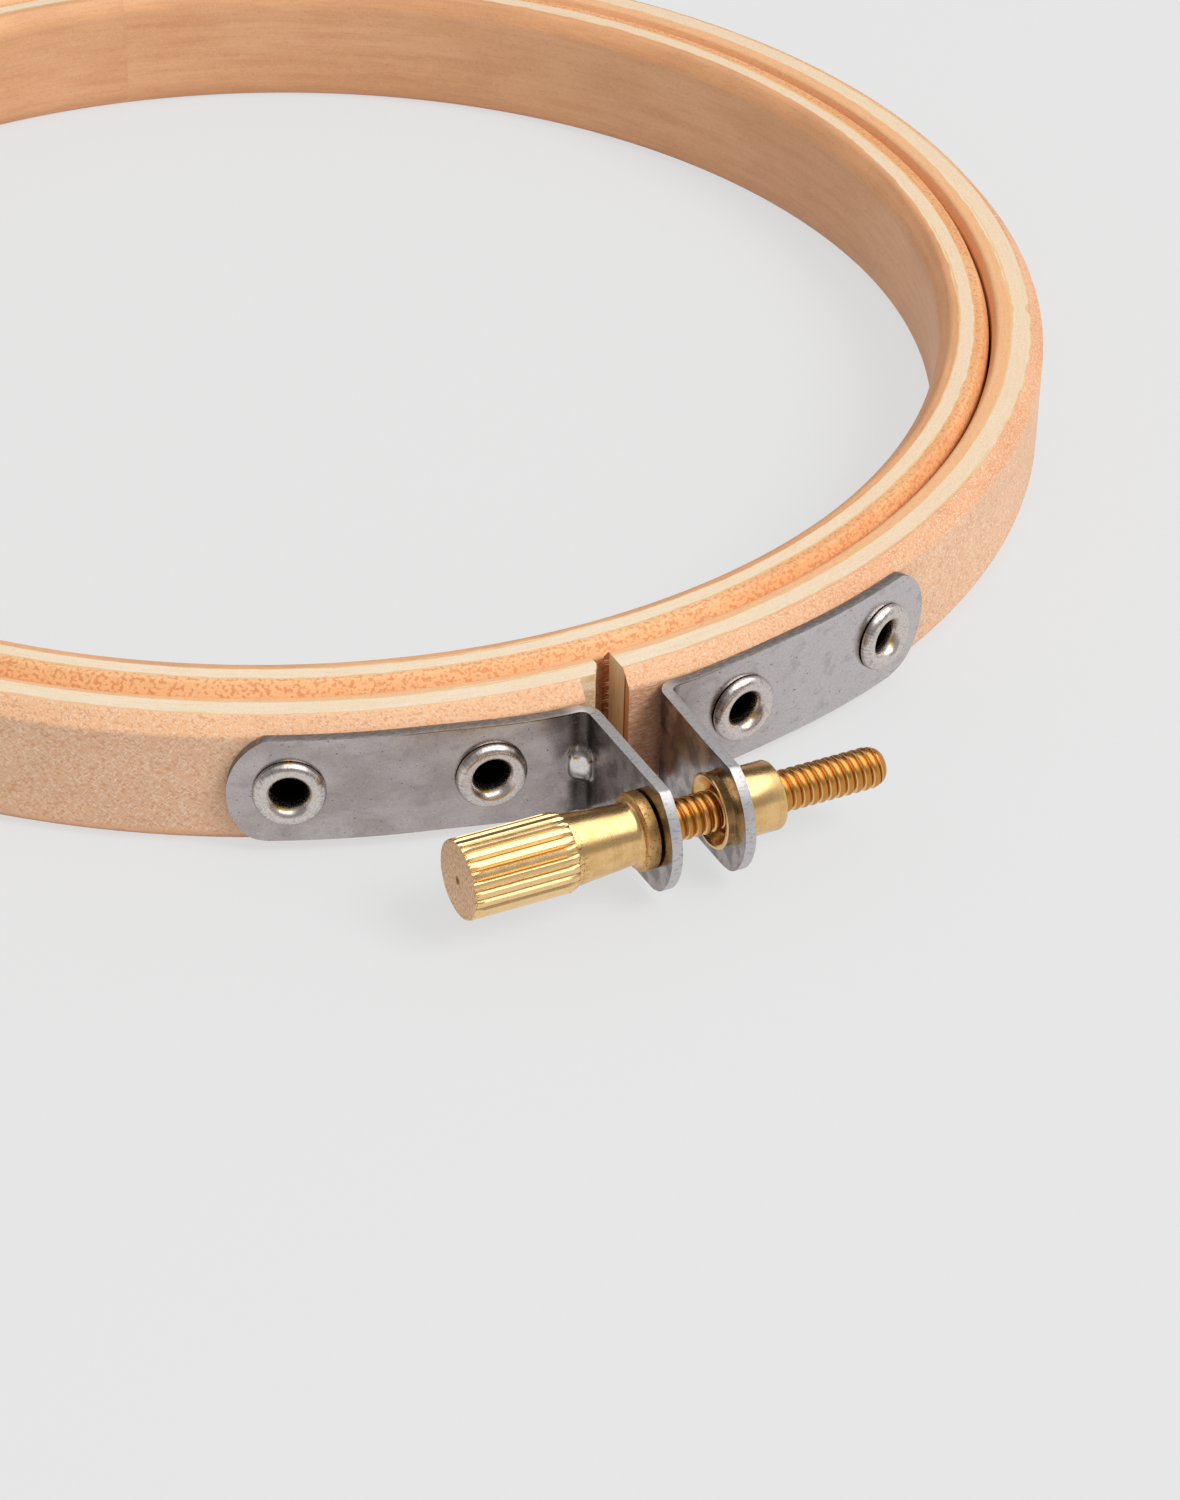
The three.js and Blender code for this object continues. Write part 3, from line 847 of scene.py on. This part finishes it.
def steelSheet():
    # Cold-rolled steel strip, bare and much handled: a soft grey sheen that mirrors what is close to it, with
    # faint smudges, rolling lines along the strap, dust, dark pits and a few short scratches
    material, tree = newMaterial("rolled_steel_strip")
    place = inMillimetres(tree)
    side, back, height = add(tree, "SeparateXYZ", {0: place}).node.outputs
    reach = apart(tree, side)
    clouds = streaks(tree, place, 4.0, 2.0, detail=4.0)
    smears = streaks(tree, place, 1.3, 0.9, detail=5.0, shift=11.0)
    rolling = streaks(tree, place, 7.0, 0.11, detail=2.0, shift=23.0)
    grainy = streaks(tree, place, 0.2, 0.15, detail=2.0, shift=131.0)
    pits = speckles(tree, place, (0.2, 0.18), (0.7, 0.76), 0.7, 37.0)
    dust = speckles(tree, place, (0.17, 0.13), (0.71, 0.77), 0.45, 53.0)
    scratches = speckles(tree, place, (1.1, 0.07), (0.71, 0.77), 0.4, 71.0)
    # The bend is darker in patches, partly dirt and partly painted shade, and painted darkest in its inside
    # corner as painted shade, but not on its dimple
    dirtAndShadeOnBend = mask(tree, (streaks(tree, place, 0.9, 1.3, detail=5.0, shift=91.0), 0.42, 0.6), share=0.55)
    dirtAndShadeOnBend = mask(tree, (reach, 6.5, 2.9), share=summed(tree, 0.25, (dirtAndShadeOnBend, 1.0)))
    offDimple = apart(tree, height, bracketMiddle / mm - 0.35)
    corner = ((reach, 2.45, 2.6), (reach, 4.4, 3.5), (back, -54.3, -53.2))
    cornerShade = mask(tree, *corner, (offDimple, 1.0, 1.5), share=0.8)
    # The dimple's crown is painted pale, as a painted highlight
    mirrored = add(tree, "VectorMath", {0: place}, operation="ABSOLUTE")
    crown = bendPlace()[0] / mm
    crown = (crown.x + 0.1, -crown.y + 0.1, bracketMiddle / mm - 0.1)
    dimpleHighlight = add(tree, "VectorMath", {0: mirrored, 1: crown}, "Value", operation="DISTANCE")
    colour = painted(
        tree, "#afa5a2",
        ("#c2b9b7", mask(tree, (clouds, 0.35, 0.65))),
        # Painted light: the right bracket is painted lighter than the left
        ("#ccc6c7", mask(tree, (side, 2.0, 16.0))),
        ("#98928f", mask(tree, (smears, 0.54, 0.7), share=0.35)),
        ("#6a6462", dirtAndShadeOnBend),
        ("#35302e", cornerShade),
        ("#f4f2f0", mask(tree, (dimpleHighlight, 0.95, 0.55), share=0.85)),
        ("#857e7a", mask(tree, (grainy, 0.4, 0.65), share=0.16)),
        ("#3f3a38", pits),
        ("#f1efec", dust),
        ("#e6e3e0", scratches),
    )
    rough = {"Value": smears, "From Min": 0.3, "From Max": 0.7, "To Min": 0.12, "To Max": 0.22}
    rough = summed(tree, add(tree, "MapRange", rough), (rolling, 0.05), (dust, 0.4), (cornerShade, 0.3125))
    raised = summed(tree, rolling, (pits, -1.0), (clouds, 3.0))
    return finished(material, colour, rough, raised, 0.005, 0.5, metallic=1)


def shearedEdge():
    # The sheet's cut edge: an even, finely torn grey, duller than the faces, and painted dark on the straps
    # as painted shade
    material, tree = newMaterial("sheared_steel_edge")
    place = inMillimetres(tree)
    torn = streaks(tree, place, 0.4, 0.14, detail=4.0, shift=5.0)
    side = apart(tree, add(tree, "SeparateXYZ", {0: place}, "X"))
    # Painted shade: along the straps the edge is painted dark
    paintedShade = painted(tree, "#6f6b6a", ("#8d8987", mask(tree, (torn, 0.45, 0.6))))
    colour = painted(
        tree, "#d2cfcf",
        ("#aaa6a4", mask(tree, (torn, 0.5, 0.75))),
        (paintedShade, mask(tree, (side, 3.0, 4.6), share=0.9)),
    )
    return finished(material, colour, 0.5, torn, 0.004, 0.6, metallic=1)


# Eyelets

eyelet = {
    # The rolled flange, as (radius, height over the strap) from the bore round to the outer edge
    "flange": (
        (1.16, -0.42), (1.18, -0.16), (1.25, 0.1), (1.37, 0.34), (1.52, 0.53), (1.7, 0.64), (1.9, 0.69),
        (2.1, 0.67), (2.26, 0.59), (2.38, 0.46), (2.46, 0.29), (2.5, 0.12), (2.45, 0.0),
    ),
    "bore": 1.14,
    "shank": 1.5,
    "clinch": 2.2,
}
eyeletSeat = strapMiddle / mm + bracket["sheet"] / 2 + 0.06


def eyeletOutline():
    # (radius, distance from the rings' centre), from the bore round the flange and back down the shank
    bore, shank, clinch = eyelet["bore"], eyelet["shank"], eyelet["clinch"]
    low = rings["outside"]["inner"] + 0.15
    points = [(bore, low + 0.3), (bore, eyeletSeat - 0.9)]
    points += [(radius, eyeletSeat + height) for radius, height in eyelet["flange"]]
    points += [(shank, eyeletSeat), (shank, low + 0.3), (clinch - 0.1, low + 0.3), (clinch, low + 0.2)]
    return points + [(clinch - 0.08, low), (shank, low + 0.04), (bore + 0.05, low + 0.15)]


def nickelPlate():
    # Bright nickel plate over brass, drawn and rolled: it mirrors softly, with fine drag marks across the
    # crest, brass showing where the lip is worn, and its bore painted dark as painted shade
    material, tree = newMaterial("nickel_plate")
    place = inMillimetres(tree)
    lathe = add(tree, "Attribute", out="Vector", attribute_name="lathe")
    radius, height = add(tree, "SeparateXYZ", {0: lathe}).node.outputs[:2]
    around = add(tree, "Attribute", out="Vector", attribute_name="around")
    # The drag marks run outwards, about a tenth of a millimetre apart
    outwards = add(tree, "CombineXYZ", {2: summed(tree, 0.0, (radius, 1.6))})
    across = add(tree, "VectorMath", {0: around, 1: (22, 22, 0), 2: outwards}, operation="MULTIPLY_ADD")
    drag = add(tree, "TexNoise", {"Vector": across, "Scale": 1.0, "Detail": 2.0})
    worn = streaks(tree, place, 1.5, 1.5, detail=3.0, shift=13.0)
    grainy = streaks(tree, place, 0.16, 0.16, detail=2.0, shift=5.0)
    crest = mask(tree, (radius, 1.2, 1.24), (radius, 1.4, 1.33))
    lip = summed(tree, crest, (mask(tree, (radius, 2.4, 2.47)), 0.6))
    # Painted shade: deep in the bore the plate is painted nearly black
    bore = mask(tree, (height, -0.34, -0.46))
    colour = painted(
        tree, "#dfd6d1",
        ("#cac1bb", mask(tree, (grainy, 0.4, 0.7))),
        ("#857c76", mask(tree, (radius, 1.95, 2.2), (drag, 0.42, 0.6), share=0.42)),
        ("#d8b25c", mask(tree, (worn, 0.56, 0.66), share=lip)),
        ("#2b231d", bore),
    )
    rough = {"Value": grainy, "From Min": 0.3, "From Max": 0.7, "To Min": 0.2, "To Max": 0.34}
    rough = summed(tree, add(tree, "MapRange", rough), (bore, 0.3))
    return finished(material, colour, rough, drag, 0.004, 0.6, metallic=1)


def buildEyelets():
    place = centre + up * bracketMiddle
    first = turned("eyelet", eyeletOutline(), place, radial(0), alongX)
    first.data.materials.append(nickelPlate())
    markLathe(first, place + radial(0) * eyeletSeat * mm, radial(0))
    smooth(first, 50)
    near, far = bracket["eyelets"]
    for name, angle, body in (
        ("left_far_eyelet", -far, "left_clamp"),
        ("left_near_eyelet", -near, "left_clamp"),
        ("right_near_eyelet", near, "outer_ring"),
        ("right_far_eyelet", far, "outer_ring"),
    ):
        piece = duplicated(first, "nickel_" + name)
        turnRound(piece, angle)
        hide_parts(name)
        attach(piece, body)
    bpy.data.objects.remove(first)


# Thumb screw, with its lengths along X from the face of its flange

screw = {
    "threadRadius": 1.45,
    "threadDepth": 0.24,
    "pitch": 0.67,
    "threadLength": 17.8,
    "threadFrom": 0.4,  # inside the flange
    "flangeRadius": 2.7,
    "flangeStart": -0.1,
    "flangeEnd": -1.05,
    "fillet": 0.38,  # between the flange and the neck
    "neckEnd": -5.95,
    "neckRadii": (2.1, 2.5),
    "gripEnd": -13.65,
    "gripRadius": 2.75,
    "ridges": 24,
    "groove": (0.2, 0.09, 0.0),  # depth at its middle and one and two eighths of a ridge to either side
    # One turn of the rolled thread, as (share of the pitch, share of the depth): steep behind, round in front
    "turn": (
        (0, 0), (0.05, 0.25), (0.1, 0.55), (0.17, 0.8), (0.3, 0.95), (0.45, 1), (0.58, 0.98), (0.7, 0.9),
        (0.8, 0.74), (0.88, 0.5), (0.95, 0.2), (1, 0),
    ),
}
flangeFace = screwLow.x - screw["gripEnd"] * mm
screwPlace = Vector((flangeFace, screwAxis.y, screwAxis.z))


def screwBody():
    flange, flangeStart, flangeEnd = screw["flangeRadius"], screw["flangeStart"], screw["flangeEnd"]
    small, large = screw["neckRadii"]
    neck, grip, end, fillet = screw["neckEnd"], screw["gripRadius"], screw["gripEnd"], screw["fillet"]
    outline = [(0.001, flangeStart), (flange - 0.04, flangeStart), (flange, flangeStart - 0.04)]
    outline += [(flange, flangeEnd + 0.14), (flange - 0.14, flangeEnd)]
    for i in range(7):
        turn = math.pi / 2 * i / 6
        along = flangeEnd - 0.02 - fillet * (1 - math.cos(turn))
        outline.append((small + fillet * (1 - math.sin(turn)), along))
    start = flangeEnd - 0.4
    outline += [(small + (large - small) * i / 8, start + (neck - start) * i / 8) for i in range(1, 9)]
    outline += [(grip - 0.1, neck - 0.06), (grip, neck - 0.35)]
    outline += [(grip, neck - 0.35 + (end - neck + 0.5) * i / 12) for i in range(1, 13)]
    outline += [(grip - 0.04, end + 0.05), (grip - 0.14, end)]
    outline += [(0.28, end), (0.2, end + 0.08), (0.12, end - 0.03), (0.001, end - 0.05)]  # the lathe's nub
    piece = turned("knurled_thumb_screw", outline, screwPlace, alongX, up, 8 * screw["ridges"])
    # The grooves of the knurl, pressed line by line of vertices
    edit(piece)
    for line, depth in enumerate(screw["groove"]):

        def inGroove(co):
            turn = math.atan2(co.y - screwAxis.y, co.z - screwAxis.z) / fullTurn * screw["ridges"]
            radius = math.hypot(co.y - screwAxis.y, co.z - screwAxis.z) / mm
            along = (co.x - flangeFace) / mm
            onLine = abs(abs(turn - round(turn)) - line / 8) < 0.04
            return onLine and radius > grip - 0.2 and end + 0.1 < along < neck - 0.2

        pick(piece, inGroove)
        shrink = 1 - depth / grip
        bpy.ops.transform.resize(value=(1, shrink, shrink), center_override=screwAxis)
    bpy.ops.object.mode_set(mode="OBJECT")
    return piece


def screwThread():
    radius, depth, pitch = screw["threadRadius"], screw["threadDepth"], screw["pitch"]
    profile = [(radius - depth + depth * rise, share * pitch) for share, rise in screw["turn"]]
    turns = math.ceil((screw["threadLength"] + 0.6) / pitch)  # with some to spare at both ends
    start = Vector((flangeFace - (screw["threadFrom"] + pitch) * mm, screwAxis.y, screwAxis.z))
    piece = drawn("thread", [start + alongX * along * mm + up * r * mm for r, along in profile])
    bpy.ops.object.mode_set(mode="OBJECT")
    piece.data.transform(Matrix.Translation(-screwAxis))
    applied(
        piece, "SCREW", axis="X", angle=fullTurn, screw_offset=pitch * mm, iterations=turns + 1,
        steps=48, render_steps=48, use_merge_vertices=True,
    )
    piece.data.transform(Matrix.Translation(screwAxis))
    weld(piece)
    middle = flangeFace + screw["threadLength"] * mm / 2
    for side in (-1, 1):
        edit(piece)
        bpy.ops.mesh.select_all(action="DESELECT")
        bpy.ops.mesh.select_mode(type="VERT")
        bpy.ops.mesh.select_non_manifold()
        mesh = bmesh.from_edit_mesh(piece.data)
        for vertex in mesh.verts:
            if (vertex.co.x - middle) * side < 0:
                vertex.select_set(False)
        mesh.select_flush(False)
        bmesh.update_edit_mesh(piece.data)
        bpy.ops.mesh.extrude_edges_move(TRANSFORM_OT_translate={"value": (0, 0, 0)})
        bpy.ops.mesh.merge(type="CENTER")
        bpy.ops.object.mode_set(mode="OBJECT")
    weld(piece)
    return piece


def buildScrew():
    piece = screwBody()
    thread = screwThread()
    # The thread is cut back to an envelope that narrows at its free end
    r, end = screw["threadRadius"], screw["threadLength"]
    outline = [
        (0.001, -0.3), (r + 0.3, -0.3), (r + 0.3, end - 1.3), (r - 0.02, end - 0.95),
        (r - 0.12, end - 0.55), (r - 0.27, end - 0.25), (r - 0.48, end - 0.05), (r - 0.62, end), (0.001, end),
    ]
    envelope = turned("envelope", outline, screwPlace, alongX, up, 64)
    boolean(thread, envelope, "INTERSECT")
    boolean(piece, thread, "UNION")
    material = turnedBrass()
    piece.data.materials.clear()
    piece.data.materials.append(material)
    smooth(piece, 38)
    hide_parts("thumb_screw")
    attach(piece, "screw")
    return material


def turnedBrass():
    # Brass off the lathe, unlacquered: a warm sheen with fine turning rings, the knurl's grooves painted
    # brown, partly grime and partly painted shade, the thread painted deeper orange with a painted highlight
    # on each turn, spotted with tarnish where the tool never cleaned it, and dull where it was faced off
    material, tree = newMaterial("turned_brass")
    place = inMillimetres(tree, screwPlace)
    along, aside, upwards = add(tree, "SeparateXYZ", {0: place}).node.outputs
    flat = add(tree, "VectorMath", {0: place, 1: (0, 1, 1)}, operation="MULTIPLY")
    radius = add(tree, "VectorMath", {0: flat}, "Value", operation="LENGTH")
    turning = streaks(tree, add(tree, "CombineXYZ", {0: along, 1: radius}), 0.09, 0.09, detail=3.0)
    tarnish = streaks(tree, place, 1.1, 0.8, detail=3.0, shift=17.0)
    scoured = streaks(tree, place, 0.35, 0.22, detail=4.0, shift=61.0)
    grip, neck, end, flangeEnd = screw["gripRadius"], screw["neckEnd"], screw["gripEnd"], screw["flangeEnd"]
    # Spots gather on the flange's rim, beside the knurl and at the knurl's ends
    flange = mask(tree, (along, flangeEnd - 0.1, flangeEnd), (along, 0.1, 0.0))
    collar = mask(tree, (along, neck - 0.3, neck), (along, neck + 0.9, neck + 0.1))
    ends = mask(tree, (along, end + 0.5, end + 0.2))
    gathered = summed(tree, 0.1125, *[(part, 0.6375) for part in (flange, collar, ends)])
    spots = speckles(tree, place, (0.17, 0.14), (0.58, 0.66), gathered, 29.0)
    # The rolled thread is painted deeper orange, as painted reflection of its own turns, and a pale painted
    # highlight runs along the back of each turn, where it is also smoother
    thread = mask(tree, (along, 0.0, 0.1), (radius, 1.62, 1.52))
    turn = add(tree, "Math", {0: summed(tree, 0.0, (aside, -1.0)), 1: upwards}, operation="ARCTAN2")
    phase = 8 + screw["threadFrom"] / screw["pitch"]  # whole turns are added, so that it stays above 0
    phase = summed(tree, phase, (along, 1 / screw["pitch"]), (turn, -1 / fullTurn))
    phase = add(tree, "Math", {0: phase}, operation="FRACT")
    paintedFlankHighlight = summed(tree, 0.0, (thread, 0.75))
    paintedFlankHighlight = mask(tree, (phase, 0.03, 0.08), (phase, 0.26, 0.18), share=paintedFlankHighlight)
    # Painted shade and grime: the knurl's grooves are painted brown
    inGroove = ((radius, grip - 0.06, grip - 0.26), (radius, 2.35, 2.45))
    shadeAndGrimeInGrooves = mask(tree, *inGroove, (along, neck - 0.05, neck - 0.25), share=0.4)
    faced = mask(tree, (along, end + 0.1, end + 0.02))
    colour = painted(
        tree, "#f3ca8e",
        ("#e5b97a", mask(tree, (tarnish, 0.35, 0.7))),
        ("#b98f52", mask(tree, (turning, 0.52, 0.68), share=0.3)),
        ("#ffd99e", mask(tree, (along, neck - 0.1, neck - 0.3), share=0.85)),  # fingers keep the knurl bright
        ("#a9793c", summed(tree, 0.0, (flange, 0.45))),
        ("#a97c55", shadeAndGrimeInGrooves),
        ("#6b4423", spots),
        (painted(tree, "#f3d3b0", ("#d3ad8a", mask(tree, (scoured, 0.35, 0.7)))), faced),
        ("#7d5a34", mask(tree, (along, end + 0.1, end + 0.02), (radius, 0.34, 0.24), share=0.7)),
        # Painted reflection: the thread is painted a deeper orange, and a painted highlight follows each
        # turn's back
        ("#cb8a3b", summed(tree, 0.0, (thread, 0.9))),
        ("#f0cf95", paintedFlankHighlight),
    )
    rough = {"Value": tarnish, "From Min": 0.3, "From Max": 0.7, "To Min": 0.22, "To Max": 0.32}
    rough = add(tree, "MapRange", rough)
    rough = summed(tree, rough, (thread, 0.1), (paintedFlankHighlight, -0.2), (faced, 0.4), (flange, 0.12))
    raised = summed(tree, turning, (spots, -1.5))
    return finished(material, colour, rough, raised, 0.006, 0.5, metallic=1)


# Clamp bush, swaged into the right ear

bush = {
    "bore": 1.72,
    "barrel": (3.44, 6.52, 2.42),  # start, end and radius
    "shank": 2.06,
    "collar": (2.52, 1.74, 2.66),  # its seat on the ear, its lip and radius
}


def buildBush(material):
    bore, shank = bush["bore"], bush["shank"]
    start, end, barrel = bush["barrel"]
    ear, lip, collar = bush["collar"]
    outline = [
        (bore + 0.12, end), (barrel - 0.3, end), (barrel - 0.1, end - 0.05), (barrel, end - 0.22),
        (barrel, start + 0.05), (barrel - 0.06, start), (shank, start), (shank, ear),
        # The collar, rolled over behind the ear
        (collar - 0.16, ear), (collar - 0.1, ear - 0.08), (collar - 0.1, lip + 0.34),
        (collar - 0.02, lip + 0.22), (collar, lip + 0.12), (collar - 0.05, lip + 0.03), (collar - 0.15, lip),
        (collar - 0.26, lip + 0.04), (collar - 0.36, lip + 0.16),
        (bore + 0.15, ear - 0.05), (bore, ear + 0.25), (bore, end - 0.12),
    ]
    piece = turned("brass_bush", outline, screwAxis, alongX, up)
    piece.data.materials.append(material)
    smooth(piece, 40)
    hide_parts("clamp_bush")
    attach(piece, "outer_ring")


# Camera, lights and floor

camera = {
    "place": (-0.121270, -0.283877, 0.187351),  # metres, in the hoop's own frame
    "turn": (55.016, -1.217, -26.331),  # degrees about X, Y and Z
    "lens": 112.895,  # millimetres, on a sensor whose long side is 36
}


def makeCamera():
    data = bpy.data.cameras.new("camera")
    data.lens = camera["lens"]
    data.sensor_width = 36
    eye = bpy.data.objects.new("camera", data)
    eye.location = camera["place"]
    eye.rotation_euler = [math.radians(turn) for turn in camera["turn"]]
    bpy.context.scene.collection.objects.link(eye)
    bpy.context.scene.camera = eye


studio = {
    "backdrop": "#e5e5e5",
    "sky": 0.6,  # the light from all round
    "floorSize": 6.0,
    "floorShade": 0.2,  # how much of the floor's look is real shading, which holds the shadow
    "key": {"place": (0.446, -0.686, 0.878), "size": (0.55, 0.55), "power": 8.9},
    # The room as the metal mirrors it: where each card stands, how wide and high it is, and how bright
    "cards": {
        "overhead_softbox": ((0.5, -0.18, 1.6), (2.15, 2.0), 2.4),
        "dim_room_in_front": ((0.3, -2.2, 1.25), (5.0, 2.1), 0.36),
        "dim_room_behind": ((0.5, 1.6, 1.2), (4.0, 1.7), 0.08),
        "dim_room_to_the_left": ((-2.0, -0.3, 1.3), (3.6, 2.2), 0.3),
    },
}
backdrop = linear(studio["backdrop"])


def seenRays(tree):
    # 1 for rays from the camera, straight, mirrored or let through
    rays = add(tree, "LightPath").node.outputs
    shiny = add(tree, "Math", {0: rays["Is Camera Ray"], 1: rays["Is Glossy Ray"]}, operation="MAXIMUM")
    return add(tree, "Math", {0: shiny, 1: rays["Is Transmission Ray"]}, operation="MAXIMUM")


def makeWorld():
    world = bpy.data.worlds.new("studio")
    bpy.context.scene.world = world
    world.use_nodes = True
    tree = world.node_tree
    light = tree.nodes["Background"]
    connect(light, {"Color": (1, 1, 1, 1), "Strength": studio["sky"]})
    seen = add(tree, "Background", {"Color": backdrop, "Strength": 1.0})
    choice = add(tree, "MixShader", {0: seenRays(tree), 1: light.outputs[0], 2: seen})
    connect(tree.nodes["World Output"], {"Surface": choice})


def makeFloor():
    # Painted board. Part of its look is flat backdrop colour, so that it stays as pale as the photograph's
    deselect()
    bpy.ops.mesh.primitive_plane_add(size=studio["floorSize"])
    floor = bpy.context.object
    floor.name = "floor"
    material, tree = newMaterial("painted_floor")
    skin = tree.nodes["Principled BSDF"]
    connect(skin, {"Base Color": backdrop, "Roughness": 0.9})
    shade = studio["floorShade"]
    own = add(tree, "BsdfDiffuse", {"Color": (*[shade * part for part in backdrop[:3]], 1)})
    glow = add(tree, "Emission", {"Color": backdrop, "Strength": 1 - shade})
    both = add(tree, "AddShader", {0: own, 1: glow})
    choice = add(tree, "MixShader", {0: seenRays(tree), 1: skin.outputs[0], 2: both})
    connect(tree.nodes["Material Output"], {"Surface": choice})
    floor.data.materials.append(material)


def makeKey():
    key = studio["key"]
    data = bpy.data.lights.new("key", "AREA")
    data.shape = "RECTANGLE"
    data.size, data.size_y = key["size"]
    data.energy = key["power"]
    lamp = bpy.data.objects.new("key", data)
    lamp.location = key["place"]
    lamp.rotation_euler = (centre - Vector(key["place"])).to_track_quat("-Z", "Y").to_euler()
    bpy.context.scene.collection.objects.link(lamp)
    lamp.visible_glossy = False  # the overhead softbox card stands for it in reflections


def makeCards():
    for name, (place, size, strength) in studio["cards"].items():
        deselect()
        turn = (centre - Vector(place)).to_track_quat("Z", "Y").to_euler()  # it faces the hoop
        bpy.ops.mesh.primitive_plane_add(size=1, location=place, rotation=turn)
        card = bpy.context.object
        card.name = name
        card.scale = (*size, 1)
        bpy.ops.object.transform_apply()
        card.visible_camera = card.visible_diffuse = card.visible_shadow = False
        material, tree = newMaterial(name)
        skin = tree.nodes["Principled BSDF"]
        connect(skin, {"Base Color": (0, 0, 0, 1), "Specular IOR Level": 0})
        connect(skin, {"Emission Color": (1, 1, 1, 1), "Emission Strength": strength})
        card.data.materials.append(material)


makeCamera()
makeWorld()
makeFloor()
makeKey()
makeCards()
bpy.context.scene.view_settings.view_transform = "Standard"
print("Camera and studio are up")
buildInnerRing()
print("The inner ring is bent")
buildOuterRing()
print("The outer ring is bent")
buildBrackets()
print("The brackets are pressed")
buildEyelets()
print("The eyelets are in")
buildBush(buildScrew())
print("The screw and its bush are turned")
